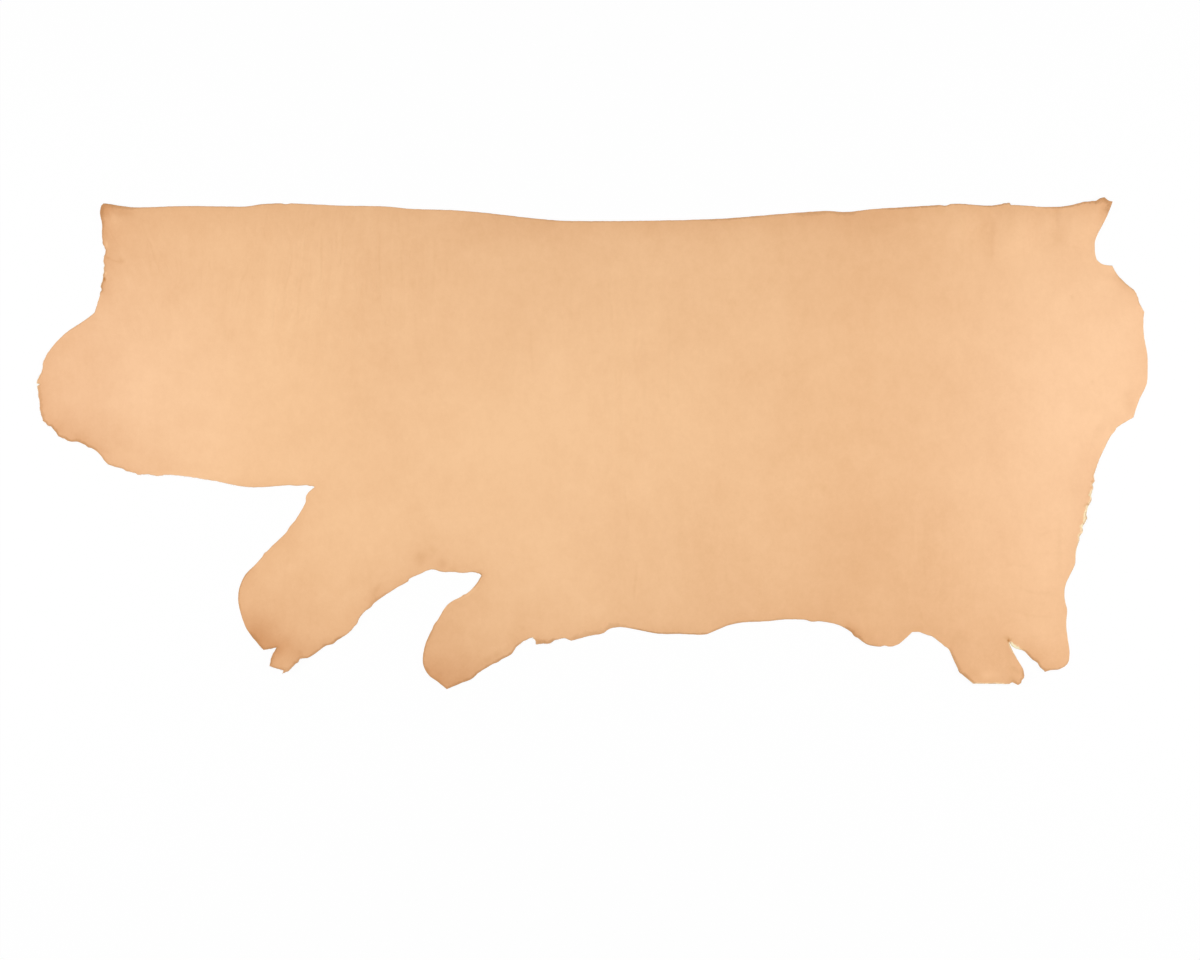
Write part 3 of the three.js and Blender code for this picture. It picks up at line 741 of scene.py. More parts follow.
# `brown` (0 to 1) and how `deep` (mm) the band is, `reach` mm around a place on the edge.
Band = namedtuple("Band", "name along out reach brown deep")
BROWNED = [
    Band("tail tip", 2350, 6, 26, 1.0, 18),
    Band("tail edge, upper", 2344, 60, 24, 0.4, 3),
    Band("tail bay", 2335, 110, 50, 0.0, 2),
    Band("tail edge", 2405, 205, 34, 0.5, 3.5),
    Band("pin bone", 2431, 262, 20, 0.3, 2.5),
    Band("below the tail", 2440, 380, 110, 0.0, 2),
    Band("below the rump", 2370, 520, 60, 0.1, 2),
    Band("hind flank", 2330, 600, 40, 0.35, 2.5),
    Band("hind flank, its lower half", 2275, 840, 110, 0.1, 2),
    Band("rear lobe, back", 2264, 960, 50, 0.0, 2),
    Band("rear lobe, tip", 2240, 1032, 26, 0.5, 4),
    Band("rear lobe, front", 2200, 1024, 32, 0.85, 7),
    Band("slit, its front side", 2160, 1022, 18, 0.0, 2),
    Band("hind shank, back corner", 2158, 1062, 20, 0.7, 7),
    Band("hind shank, its end", 2100, 1068, 34, 0.0, 1.5),
    Band("hind shank, front corner", 2042, 1054, 20, 1.0, 9),
    Band("hind shank, front", 2018, 1016, 22, 0.7, 7),
    Band("bay before the hind shank", 1965, 965, 44, 0.0, 2),
    Band("rear belly lobe, its back", 1895, 974, 34, 0.0, 2),
    Band("rear belly lobe", 1834, 984, 22, 0.7, 3.5),
    Band("rear belly, where its lobe starts", 1796, 962, 22, 1.0, 9),
    Band("rear belly, before the lobe", 1752, 937, 22, 0.35, 2.5),
    Band("rear belly", 1680, 930, 50, 0.6, 2.5),
    Band("belly", 1540, 940, 90, 0.55, 4),
    Band("belly, middle", 1400, 957, 70, 1.0, 4.5),
    Band("belly, fore", 1230, 961, 54, 0.45, 14),
    Band("belly, before the step", 1160, 971, 16, 0.2, 3),
    Band("step", 1117, 980, 20, 0.85, 12),
    Band("behind the step", 1082, 974, 16, 0.3, 4),
    Band("fore flank, back", 1020, 1010, 44, 0.8, 6),
    Band("fore flank, back of the tip", 965, 1050, 26, 0.9, 6),
    Band("fore flank, tip", 915, 1070, 34, 0.75, 7),
    Band("fore flank, front of the tip", 862, 1048, 22, 0.5, 8),
    Band("fore flank, front", 850, 990, 50, 0.65, 5),
    Band("fore flank, upper front", 920, 890, 32, 0.15, 2.5),
    Band("elbow bay, before its end", 940, 868, 18, 0.0, 2),
    Band("elbow bay, its end", 972, 838, 18, 0.9, 3),
    Band("elbow bay", 900, 821, 30, 0.45, 3),
    Band("elbow bay, fore part", 850, 822, 24, 0.1, 2),
    Band("elbow", 800, 852, 30, 0.4, 2.5),
    Band("elbow, its dark part", 748, 888, 20, 0.35, 9),
    Band("fore shank, back, upper", 700, 936, 26, 0.25, 3),
    Band("fore shank, back edge", 650, 980, 24, 1.0, 7),
    Band("fore shank, back edge, lower", 610, 1003, 24, 0.8, 6),
    Band("fore shank, tongue", 560, 1030, 28, 0.6, 8),
    Band("fore shank, end", 514, 1006, 26, 0.9, 7),
    Band("fore shank, front corner", 484, 976, 22, 1.0, 10),
    Band("fore shank, front, low", 456, 938, 16, 0.1, 2),
    Band("fore shank, front", 446, 880, 30, 0.6, 4),
    Band("fore shank, front, upper", 450, 845, 30, 1.0, 3.5),
    Band("brisket", 540, 740, 70, 0.4, 2),
    Band("throat bay", 590, 660, 36, 0.25, 2),
    Band("throat", 510, 634, 50, 0.2, 3),
    Band("throat, toward the jaw", 335, 615, 110, 0.0, 2),
    Band("jaw, behind", 190, 597, 32, 0.5, 5),
    Band("jaw", 148, 576, 24, 0.6, 5),
    Band("jaw, its tip", 90, 540, 44, 1.0, 7),
    Band("front of the jaw", 30, 508, 30, 1.0, 7),
    Band("front of the cheek", 5, 450, 34, 0.5, 10),
    Band("front of the cheek, upper", 5, 398, 20, 0.8, 3.5),
    Band("cheek, upper", 20, 350, 60, 0.25, 2.5),
    Band("cheek, toward the poll", 100, 272, 50, 0.35, 3),
    Band("poll edge, lower", 134, 226, 16, 0.1, 2),
    Band("poll edge, torn", 143, 188, 24, 1.0, 7),
    Band("poll edge, middle", 147, 145, 22, 0.5, 5),
    Band("poll edge, upper", 144, 90, 30, 0.6, 4),
    Band("corner of the poll", 142, 36, 34, 1.0, 12),
    Band("crest, by the corner", 186, 19, 26, 0.8, 9),
    Band("crest", 400, 18, 140, 0.45, 3),
    Band("withers", 680, 17, 120, 0.15, 2),
    Band("shoulder", 880, 26, 100, 0.2, 2),
    Band("middle of the back", 1160, 48, 150, 0.5, 3.5),
    Band("back, before the loin", 1530, 44, 50, 0.75, 5),
    Band("back, at the loin", 1610, 37, 30, 0.4, 5),
    Band("loin, its dark part", 1740, 30, 60, 0.55, 11),
    Band("loin", 1845, 25, 30, 0.3, 2),
    Band("loin edge", 1930, 19, 70, 0.9, 5),
    Band("rump edge", 2040, 15, 50, 0.7, 2.5),
    Band("rump edge, by the long trough", 2112, 15, 24, 1.0, 4),
    Band("rump edge, the rear of it", 2180, 18, 40, 0.5, 2.5),
    Band("rump edge, by the third trough", 2240, 20, 24, 0.8, 5),
    Band("tail root", 2300, 10, 34, 1.0, 6),
]
PLAIN_BROWN, PLAIN_DEEP = 0.3, 3  # everywhere else
PLAIN_WEIGHT = 0.12  # of the plain values, beside the 1 of a band

# How `deep` (mm) the raw strip is, `reach` mm around a place on the edge.
Strip = namedtuple("Strip", "name along out reach deep")
RAW = [
    Strip("hind flank, where it tore", 2306, 702, 78, 6.4),
    Strip("hind flank, above the tear", 2317, 655, 24, 6.4),
    Strip("slit, pared away behind it", 2152, 986, 16, 10.5),
    Strip("hind shank, its cut end", 2095, 1068, 50, 3),
    Strip("poll edge, its frayed notches", 148, 168, 34, 2),
    Strip("front of the cheek", 4, 408, 26, 2),
    Strip("step, its inner corner", 1094, 966, 9, 2.2),
]


BAND_FADE, STRIP_FADE = 1.5, 1.4  # how many times its reach a band and a strip fade out at


def band_at(points):
    """How brown the edge is at [x, y] points, and how deep, in metres."""
    weight = np.full(len(points), PLAIN_WEIGHT)
    brown, deep = weight * PLAIN_BROWN, weight * PLAIN_DEEP
    for band in BROWNED:
        share = falling(away_from(points, band) / (band.reach * BAND_FADE * MM))
        weight += share
        brown += share * band.brown
        deep += share * band.deep
    return brown / weight, deep / weight * MM


def raw_at(points):
    """How deep the raw strip is along the edge at [x, y] points, in metres."""
    deep = np.zeros(len(points))
    for strip in RAW:
        share = falling(away_from(points, strip) / (strip.reach * STRIP_FADE * MM))
        deep = np.maximum(deep, strip.deep * MM * share)
    return deep


# ---- The hide ---------------------------------------------------------------------------
# One sheet, 3 mm thick: a smooth grain side above, a fibrous flesh side below, and the cut
# between them, rounded over at the grain and a little feathered at the flesh.

THICKNESS = 3 * MM
GRAIN_PITCH = 7.6 * MM
FLESH_PITCH = 18 * MM
MARK_PITCH = 3.4 * MM
JITTER = 0.22  # of the pitch: how far a point strays from its row
MARK_MERGE = 2.1 * MM  # marks' points that share a square of this size become one
BESIDE_EDGE = 4.5 * MM  # how far in the row of points inside the edge is
ROW_CLEAR, MARK_CLEAR = 0.93, 0.7  # of that: how clear of the edge its row and the marks stay
RIM_CLEAR, POINT_CLEAR = 0.45, 0.4  # of the pitch: how clear a plain point stays of rim and others
GRAIN_SEED, FLESH_SEED = 11, 12
ACROSS_LINE = (-0.9, -0.45, 0, 0.45, 0.9)  # the points across a line, as shares of its width
TOUCHING = 1e-9  # metres
ON_GRAIN, ON_CUT, ON_FLESH = 0, 1, 2  # the hide's finishes, in the order that they are added

# The cut, from the grain down: how far it stands out from the edge, and at what height, mm.
Level = namedtuple("Level", "out height")
CUT = [
    Level(-1.0, 2.98),
    Level(-0.35, 2.84),
    Level(0.0, 2.45),
    Level(0.1, 1.6),
    Level(0.15, 0.8),
    Level(0.1, 0.25),
    Level(-0.3, 0.0),
]


def distance_to(places, points):
    """Each point's distance from the nearest of some places."""
    tree = KDTree(len(places))
    for i, (x, y) in enumerate(places):
        tree.insert((x, y, 0), i)
    tree.balance()
    return np.array([tree.find((x, y, 0))[2] for x, y in points])


def is_within(ring, x, y):
    """Whether a place, or each x of a row at the same y, is inside the ring."""
    a, b = ring, np.roll(ring, -1, axis=0)
    crossed = (a[:, 1] <= y) != (b[:, 1] <= y)
    p, q = a[crossed], b[crossed]
    sides = np.sort(p[:, 0] + (q[:, 0] - p[:, 0]) * (y - p[:, 1]) / (q[:, 1] - p[:, 1]))
    return np.searchsorted(sides, x) % 2 == 1


def filling(ring, pitch, clear, seed):
    """Points over the inside of the ring, in rows and a little off them, clear of it."""
    low, high = ring.min(axis=0), ring.max(axis=0)
    rows = []
    for r, y in enumerate(np.arange(low[1], high[1], pitch * math.sqrt(3) / 2)):
        x = np.arange(low[0] + (r % 2) * pitch / 2, high[0], pitch)
        x = x[is_within(ring, x, y)]
        rows.append(np.column_stack([x, np.full(len(x), y)]))
    points = np.vstack(rows)
    chance = np.random.default_rng(seed)
    points += chance.uniform(-JITTER, JITTER, points.shape) * pitch
    return points[distance_to(ring, points) > clear * pitch]


def line_points(line):
    """Rows of points along a line and to both sides of it."""
    points = []
    path = line_path(line)
    for a, b in zip(path[:-1], path[1:]):
        length = np.linalg.norm(b - a)
        aside = np.array([-(b - a)[1], (b - a)[0]]) / length
        steps = math.ceil(length / MARK_PITCH)
        for s in range(steps + 1):
            middle = a + (b - a) * s / steps
            points += [middle + aside * line.wide * MM * share for share in ACROSS_LINE]
    return points


def spot_points(spot):
    """Points over a small spot."""
    reach = math.ceil(max(spot.long, spot.across) / (MARK_PITCH / MM))
    steps = range(-reach, reach + 1)
    middle = place(spot.along, spot.out)
    square = np.array([middle + np.array([i, j]) * MARK_PITCH for i in steps for j in steps])
    return list(square[round_strength(square, spot) > 0])


def mark_points():
    """Points on and beside the lines and small spots, close enough to hold their relief."""
    on_lines = np.array([p for line in LINES for p in line_points(line)])
    on_spots = np.array([p for spot in SPOTS if is_small(spot) for p in spot_points(spot)])
    squares = {}
    for p in np.vstack([2 * on_lines - wandered(on_lines), on_spots]):
        squares.setdefault(tuple(np.round(p / MARK_MERGE).astype(int)), p)
    return np.array(list(squares.values()))


def skin(ring, inner):
    """Triangles over a ring and the points inside it, as indices, facing up."""
    flat = [Vector(p) for p in np.vstack([ring, inner])]
    made = geometry.delaunay_2d_cdt(flat, [], [list(range(len(ring)))], 1, TOUCHING)
    if len(made[0]) != len(flat):
        raise ValueError("the hide's edge crosses itself")
    return [tuple(f) for f in made[2]]


def grain_points(grain_ring, away):
    """The points inside the grain's ring: between the marks, beside the edge, on the marks."""
    beside = edge_ring - away * BESIDE_EDGE
    beside = beside[distance_to(edge_ring, beside) > ROW_CLEAR * BESIDE_EDGE]
    marked = mark_points()
    marked = marked[distance_to(edge_ring, marked) > MARK_CLEAR * BESIDE_EDGE]
    marked = marked[[is_within(edge_ring, x, y) for x, y in marked]]
    plain = filling(grain_ring, GRAIN_PITCH, RIM_CLEAR, GRAIN_SEED)
    for others in (marked, beside):
        plain = plain[distance_to(others, plain) > POINT_CLEAR * GRAIN_PITCH]
    return np.vstack([plain, beside, marked])


def hide_points(rings, inner, under, relief):
    """All points: the grain's ring, those inside it, the cut's rings, and the flesh side's."""
    count = len(edge_ring)
    lift = flesh_height(edge_ring)
    around = []
    for level, ring in zip(CUT, rings):
        raised = relief[:count] * (level.height / CUT[0].height)
        around.append(np.column_stack([ring, lift + level.height * MM + raised]))
    grain = np.column_stack([inner, flesh_height(inner) + THICKNESS + relief[count:]])
    flesh_points = np.column_stack([under, flesh_height(under)])
    return np.vstack([around[0], grain, *around[1:], flesh_points])


def hide_faces(rings, inner, under):
    """The faces between those points, and the finish of each."""
    count = len(edge_ring)
    faces = skin(rings[0], inner)
    finish = [ON_GRAIN] * len(faces)
    starts = [0] + [count + len(inner) + k * count for k in range(len(CUT) - 1)]
    for above, below in zip(starts[:-1], starts[1:]):
        for i in range(count):
            j = (i + 1) % count
            faces.append((above + i, below + i, below + j, above + j))
        finish += [ON_CUT if above else ON_GRAIN] * count  # the grain goes on to the second ring
    flesh_faces = skin(rings[-1], under)
    faces += [tuple(starts[-1] + k for k in reversed(f)) for f in flesh_faces]
    finish += [ON_FLESH] * len(flesh_faces)
    return faces, finish


def hide_mesh():
    away = outward(edge_ring)
    rings = [edge_ring + away * level.out * MM for level in CUT]
    inner = grain_points(rings[0], away)
    under = filling(rings[-1], FLESH_PITCH, POINT_CLEAR, FLESH_SEED)
    relief, tone = marks_at(np.vstack([rings[0], inner]))
    points = hide_points(rings, inner, under, relief)
    faces, finish = hide_faces(rings, inner, under)

    mesh = bpy.data.meshes.new("hide")
    mesh.from_pydata(points.tolist(), [], faces)
    mesh.polygons.foreach_set("material_index", finish)
    mesh.shade_smooth()

    flat = points[:, :2]
    rim = distance_to(edge_ring, flat)
    brown, brown_deep = band_at(flat)
    values = {
        "rim": rim,
        # the marks' tone: painted shade in troughs and pits, painted highlight on ridges, and dark
        # spots
        "tone": np.pad(tone, (0, len(points) - len(tone))),
        "depth": depth_at(flat, rim, brown),
        "rosy": rosy_at(flat),
        "creased": creased_at(flat),
        "fan": fan_at(flat),
        "brown": brown,
        "brown_deep": brown_deep,
        "raw_deep": raw_at(flat),
    }
    for name, numbers in values.items():
        attribute = mesh.attributes.new(name, "FLOAT", "POINT")
        attribute.data.foreach_set("value", numbers.astype(np.float32))
    return mesh


hide = bpy.data.objects.new("hide", hide_mesh())
bpy.context.collection.objects.link(hide)


# ---- The grain side's finish ------------------------------------------------------------
# Undyed bark-tanned grain with a light natural wax, satin and a little uneven: cloudy at
# every size, wrinkled, brown along the edge, painted shade in creases, with hair pores.

LIGHTEST, DEEPEST = -0.10, 0.45  # the tan's depths, as shares darker than the plain tan
TAN_LIGHT = (0.961, 0.590, 0.3175, 1)  # at the lightest
TAN_DEEP = (0.659, 0.311, 0.1273, 1)  # at the deepest: redder as well
ROSY_LIGHT = (0.957, 0.5965, 0.3435, 1)  # the same two where the tan is rosy
ROSY_DEEP = (0.656, 0.3145, 0.1372, 1)
# painted shade in troughs, pits and creases, with the brown of dark spots
SHADE_AND_SPOT_BROWN = (0.50, 0.19, 0.03, 1)  # in troughs, creases and dark spots
EDGE_BROWN = (0.47, 0.215, 0.07, 1)  # in the band along the edge
RAW_PALE = (0.98, 0.76, 0.48, 1)  # raw fibre, where its strip is narrow
RAW_WHITE = (1.0, 0.93, 0.62, 1)  # and where it is deep
PORES_PER_METRE = 1100.0
STRETCH = (1, 0.85, 1)  # the mottling is a little longer across the hide than along it

# How far each cloud, streak and crease swings the depth of the tan.
MOTTLED, BLOTCHED, GRAINED = 0.27, 0.025, 0.03
BROAD_STREAKED, CLOSE_STREAKED = 0.10, 0.08
# a crease's swing darkens the tan in it: painted shade in the crease
BROAD_CREASED, CLOSE_CREASED = 0.025, 0.02
CREASE_WIDTH = 0.05  # of the noise to each side of a crease

# How a band or strip along the edge ends, and how its colour lies.
BAND_LEAST = 0.6 * MM
BAND_CORE = 0.25  # the share of it that is whole, from the edge in
BAND_RAGGED = (0.2, 1.8)  # its depth, least and most, in shares of its plain one
BAND_STRENGTH = 0.75
BAND_UNEVEN = (0.5, 1.2)
WHITER = (5 * MM, 7 * MM)  # how deep the raw strip is where it turns white
SCRAPS_FADE = (7 * MM, 9 * MM)  # and where the scraps of grain left on it go
SCRAPS_SHOW = 0.65
SCRAPS_IN = 0.5  # of the raw strip's depth
TONE_SHOWS = (0.18, 0.42)  # how brown a dark mark of tone 1 is, least and most
SATIN = (0.48, 0.64)  # roughness, where the grain is darkest and lightest


def set_inputs(tree, made, inputs):
    """Sets a node's inputs to numbers and colours, or links them to other nodes' outputs."""
    for socket, value in inputs.items():
        if isinstance(value, bpy.types.NodeSocket):
            tree.links.new(value, made.inputs[socket])
        else:
            made.inputs[socket].default_value = value


def node(tree, kind, inputs=None, **settings):
    made = tree.nodes.new(kind)
    for name, value in settings.items():
        setattr(made, name, value)
    set_inputs(tree, made, inputs or {})
    return made


def math_node(tree, operation, a, b, clamp=False):
    made = node(tree, "ShaderNodeMath", {0: a, 1: b}, operation=operation, use_clamp=clamp)
    return made.outputs[0]


def product(tree, *factors):
    result = factors[0]
    for factor in factors[1:]:
        result = math_node(tree, "MULTIPLY", result, factor)
    return result


def swing(tree, value):
    """A number from 0 to 1 as one from -0.5 to 0.5."""
    return math_node(tree, "SUBTRACT", value, 0.5)


def ranged(tree, value, low, high, to_low=0.0, to_high=1.0, soft=False):
    """A value's place between low and high, as a number between to_low and to_high."""
    inputs = {
        "Value": value,
        "From Min": low,
        "From Max": high,
        "To Min": to_low,
        "To Max": to_high,
    }
    kind = "SMOOTHSTEP" if soft else "LINEAR"
    return node(tree, "ShaderNodeMapRange", inputs, interpolation_type=kind).outputs[0]


def spread(tree, share, low, high):
    """A share from 0 to 1 as a number from low to high."""
    return ranged(tree, share, 0.0, 1.0, low, high)


def mixed(tree, share, a, b):
    """A colour between a and b."""
    made = node(tree, "ShaderNodeMix", {0: share, 6: a, 7: b}, data_type="RGBA")
    return made.outputs[2]


def cloud(tree, where, size, detail, contrast, seed, evenness=0.75):
    """Soft noise with patches of about `size` metres, from 0 to 1 around a half."""
    moved = node(tree, "ShaderNodeMapping", {"Vector": where, "Location": (seed, seed * 1.7, 0)})
    inputs = {
        "Vector": moved.outputs[0],
        "Scale": 1 / size,
        "Detail": detail,
        "Roughness": evenness,
    }
    raw = node(tree, "ShaderNodeTexNoise", inputs).outputs["Fac"]
    return ranged(tree, raw, 0.5 - 0.5 / contrast, 0.5 + 0.5 / contrast)


def stretched(tree, where, scale):
    """The places of a pattern that is drawn out, or pressed, along the hide's three ways."""
    return node(tree, "ShaderNodeMapping", {"Vector": where, "Scale": scale}).outputs[0]


def mark_input(tree, name):
    return node(tree, "ShaderNodeAttribute", attribute_name=name).outputs["Fac"]


def bumped(tree, height, strength, distance, below=None):
    inputs = {"Height": height, "Strength": strength, "Distance": distance}
    if below is not None:
        inputs["Normal"] = below
    return node(tree, "ShaderNodeBump", inputs).outputs[0]


def new_finish(name):
    """A material, its tree, the places on the hide, and its shader."""
    finish = bpy.data.materials.new(name)
    finish.use_nodes = True
    tree = finish.node_tree
    tree.nodes.clear()
    where = node(tree, "ShaderNodeTexCoord").outputs["Object"]
    shader = node(tree, "ShaderNodeBsdfPrincipled")
    node(tree, "ShaderNodeOutputMaterial", {"Surface": shader.outputs[0]})
    return finish, tree, where, shader


def wrinkles(tree, where, patchy, size, length, seed):
    """Soft streaks along the fan of the wrinkles, and the fine creases between them."""
    y = node(tree, "ShaderNodeSeparateXYZ", {0: where}).outputs[1]
    drawn = node(tree, "ShaderNodeCombineXYZ", {
        0: math_node(tree, "DIVIDE", mark_input(tree, "fan"), size),
        1: math_node(tree, "DIVIDE", y, length),
        2: seed,
    })
    inputs = {
        "Vector": drawn.outputs[0],
        "Scale": 1.0,
        "Detail": 2.0,
        "Roughness": 0.6,
        "Distortion": 0.15,
    }
    streak = swing(tree, node(tree, "ShaderNodeTexNoise", inputs).outputs["Fac"])
    from_middle = math_node(tree, "ABSOLUTE", streak, 0.0)
    crease = ranged(tree, from_middle, 0.0, CREASE_WIDTH, 1.0, 0.0, soft=True)
    creased = mark_input(tree, "creased")
    return product(tree, streak, creased), product(tree, crease, patchy, creased)


def edge_band(tree, deep, uneven):
    """1 at the edge of the hide to 0 about `deep` metres in, with a ragged inner side."""
    reach = product(tree, deep, spread(tree, uneven, *BAND_RAGGED))
    reach = math_node(tree, "ADD", reach, BAND_LEAST)
    share = math_node(tree, "DIVIDE", mark_input(tree, "rim"), reach)
    return ranged(tree, share, BAND_CORE, 1.0, 1.0, 0.0, soft=True)


def tan_colour(tree, swings):
    """The tan, lighter and darker by its swings, golden or rosy."""
    depth = mark_input(tree, "depth")
    for swung, strength in swings:
        depth = math_node(tree, "ADD", depth, product(tree, swung, strength))
    share = ranged(tree, depth, LIGHTEST, DEEPEST)
    golden = mixed(tree, share, TAN_LIGHT, TAN_DEEP)
    rosy = mixed(tree, share, ROSY_LIGHT, ROSY_DEEP)
    return mixed(tree, mark_input(tree, "rosy"), golden, rosy)


def with_raw_strip(tree, where, colour, uneven, fine):
    """The raw strip over the tan, whiter where it is deep, with scraps of grain left on it."""
    raw_deep = mark_input(tree, "raw_deep")
    raw_colour = mixed(tree, ranged(tree, raw_deep, *WHITER), RAW_PALE, RAW_WHITE)
    colour = mixed(tree, edge_band(tree, raw_deep, uneven), colour, raw_colour)
    lip = edge_band(tree, product(tree, raw_deep, SCRAPS_IN), fine)
    scraps = cloud(tree, where, 9 * MM, detail=2, contrast=3.0, seed=12.0)
    left_on = ranged(tree, scraps, 0.4, 0.55)
    left_on = product(tree, left_on, ranged(tree, raw_deep, *SCRAPS_FADE, SCRAPS_SHOW, 0.0))
    return mixed(tree, product(tree, lip, left_on), colour, EDGE_BROWN)


def with_marks(tree, colour, uneven):
    """The troughs and dark spots browner, the ridges and bright spots lighter."""
    tone = mark_input(tree, "tone")
    # darker: painted shade in troughs, pits and beside raised edges, with the brown of dark spots
    darker = product(tree, tone, spread(tree, uneven, *TONE_SHOWS))
    darker = math_node(tree, "MAXIMUM", darker, 0.0, clamp=True)
    # lighter: painted highlight on ridges and raised spots
    lighter = math_node(tree, "MULTIPLY", tone, -1.0, clamp=True)
    return mixed(tree, lighter, mixed(tree, darker, colour, SHADE_AND_SPOT_BROWN), TAN_LIGHT)


def with_brown_band(tree, where, colour, uneven):
    ragged = cloud(tree, where, 16 * MM, detail=4, contrast=1.9, seed=11.0)
    band = edge_band(tree, mark_input(tree, "brown_deep"), ragged)
    band = product(tree, band, mark_input(tree, "brown"), BAND_STRENGTH)
    return mixed(tree, product(tree, band, spread(tree, uneven, *BAND_UNEVEN)), colour, EDGE_BROWN)


def grain_finish():
    finish, tree, where, shader = new_finish("tanned_grain")
    drawn = stretched(tree, where, STRETCH)
    mottling = cloud(tree, drawn, 220 * MM, detail=6, contrast=1.0, seed=1.0, evenness=0.95)
    uneven = cloud(tree, where, 12 * MM, detail=3, contrast=1.6, seed=2.0)
    fine = cloud(tree, where, 3.2 * MM, detail=3, contrast=1.6, seed=3.0)
    patchy = cloud(tree, where, 60 * MM, detail=2, contrast=2.2, seed=6.0)
    pores = {"Vector": where, "Scale": PORES_PER_METRE}
    pores = node(tree, "ShaderNodeTexVoronoi", pores).outputs["Distance"]
    broad_streak, broad_crease = wrinkles(tree, where, patchy, 30 * MM, 160 * MM, seed=1.3)
    close_streak, close_crease = wrinkles(tree, where, patchy, 13 * MM, 90 * MM, seed=7.9)

    colour = tan_colour(tree, [
        (swing(tree, mottling), MOTTLED),
        (swing(tree, uneven), BLOTCHED),
        (swing(tree, fine), GRAINED),
        (broad_streak, BROAD_STREAKED),
        (close_streak, CLOSE_STREAKED),
        # the creases darker: painted shade
        (broad_crease, BROAD_CREASED),
        (close_crease, CLOSE_CREASED),
    ])
    colour = with_raw_strip(tree, where, colour, uneven, fine)
    colour = with_marks(tree, colour, uneven)
    colour = with_brown_band(tree, where, colour, uneven)

    # The finest relief, down to the pores: what it follows, how strongly, and how high.
    normal = None
    for height, strength, distance in (
        (uneven, 0.35, 0.5 * MM),
        (broad_streak, 1.0, 1.6 * MM),
        (broad_crease, 1.0, -0.3 * MM),
        (close_crease, 1.0, -0.2 * MM),
        (fine, 0.35, 0.25 * MM),
        (pores, 0.3, 0.1 * MM),
    ):
        normal = bumped(tree, height, strength, distance, normal)

    set_inputs(tree, shader, {
        "Base Color": colour,
        "Roughness": ranged(tree, mottling, 0.35, 0.65, *SATIN),
        "Specular IOR Level": 0.3,
        "Normal": normal,
    })
    return finish


hide.data.materials.append(grain_finish())


# ---- The cut ----------------------------------------------------------------------------
# The knife shows the hide's section: pale bundles of fibre in thin layers, left raw. Where
# the edge is browned, the cut took the bark as well; where the hide was torn, it is paler.

CUT_PALE = (0.93, 0.68, 0.44, 1)
CUT_FIBRE = (0.74, 0.45, 0.24, 1)
LAYERS = (1, 1, 6)  # how much finer the fibres are through the thickness
CUT_BROWNED, CUT_RAW = 0.9, 0.8  # how much the browned and the torn edge show on it


def cut_finish():
    finish, tree, where, shader = new_finish("raw_cut")
    drawn = stretched(tree, where, LAYERS)
    fibres = cloud(tree, drawn, 3.5 * MM, detail=4, contrast=1.7, seed=5.0)
    patches = cloud(tree, where, 50 * MM, detail=2, contrast=1.6, seed=6.0)
    share = math_node(tree, "MULTIPLY", fibres, math_node(tree, "ADD", patches, 0.3), clamp=True)
    colour = mixed(tree, share, CUT_PALE, CUT_FIBRE)
    browned = product(tree, mark_input(tree, "brown"), patches, CUT_BROWNED)
    colour = mixed(tree, browned, colour, EDGE_BROWN)
    torn = ranged(tree, mark_input(tree, "raw_deep"), 0.0, 1 * MM)
    set_inputs(tree, shader, {
        "Base Color": mixed(tree, product(tree, torn, CUT_RAW), colour, RAW_PALE),
        "Roughness": 0.85,
        "Specular IOR Level": 0.25,
        "Normal": bumped(tree, fibres, 0.6, 0.5 * MM),
    })
    return finish


hide.data.materials.append(cut_finish())


# ---- The flesh side's finish ------------------------------------------------------------
# The underside is shaved and left as it is: a pale short nap of loose fibres, with the faint
# stripes of the shaving machine across the hide.

FLESH_PALE = (0.80, 0.60, 0.41, 1)
FLESH_DARK = (0.62, 0.42, 0.26, 1)
STRIPE_SCALE, STRIPES_SHOW = 26.0, 0.12


def flesh_finish():
    finish, tree, where, shader = new_finish("flesh_nap")
    nap = cloud(tree, where, 4 * MM, detail=5, contrast=1.6, seed=7.0)
    patches = cloud(tree, where, 110 * MM, detail=3, contrast=1.6, seed=8.0)
    stripes = {"Vector": where, "Scale": STRIPE_SCALE, "Distortion": 1.5, "Detail": 2.0}
    stripes = node(tree, "ShaderNodeTexWave", stripes, bands_direction="X").outputs["Fac"]
    share = math_node(tree, "MULTIPLY", nap, math_node(tree, "ADD", patches, 0.25))
    share = math_node(tree, "ADD", share, product(tree, stripes, STRIPES_SHOW), clamp=True)
    set_inputs(tree, shader, {
        "Base Color": mixed(tree, share, FLESH_PALE, FLESH_DARK),
        "Roughness": 0.95,
        "Specular IOR Level": 0.15,
        "Sheen Weight": 0.25,
        "Normal": bumped(tree, nap, 0.8, 0.9 * MM),
    })
    return finish


hide.data.materials.append(flesh_finish())


# ---- Loose fibres -----------------------------------------------------------------------
# Where the edge is torn, ends of the hide's own fibre bundles stick out of the cut: fine,
# pale, bent a little and pointing outward. They aren't fixed, they grow out of the sheet.

FIBRE_LENGTH = 3.4 * MM
FIBRE_WIDTH = 0.26 * MM
FIBRE_SPACING = 0.9 * MM
FIBRE_SEED = 5
FRAYED = 1.6  # times as ragged as the plain edge, from where the fibres grow
SHORTEST_RUN = 3  # edge points
ROOT_IN, ROOT_UP = 0.3, 1.1  # mm: how far inside the edge, and above the flesh side, they start
FIBRE_RISE = 0.05  # how far up they point, for each 1 outward
BOW_START, BOW_MIDDLE = 0.12, 0.16  # how high a fibre is at its root and middle, of its length
TAPER = 0.85  # of the width that is lost at the tip
SWAY_LOW, SWAY_HIGH = (-0.5, -0.35, -0.8), (0.5, 0.25, 0.8)  # how a fibre turns, radians
SMALLEST = 0.25  # of the full size


def torn_runs():
    """Runs of edge points that are ragged enough to fray, by their places in the edge."""
    runs = [[]]
    for i, frayed in enumerate(raggedness(edge_ring) > FRAYED * WAVY):
        if frayed:
            runs[-1].append(i)
        else:
            runs.append([])
    return [run for run in runs if len(run) >= SHORTEST_RUN]


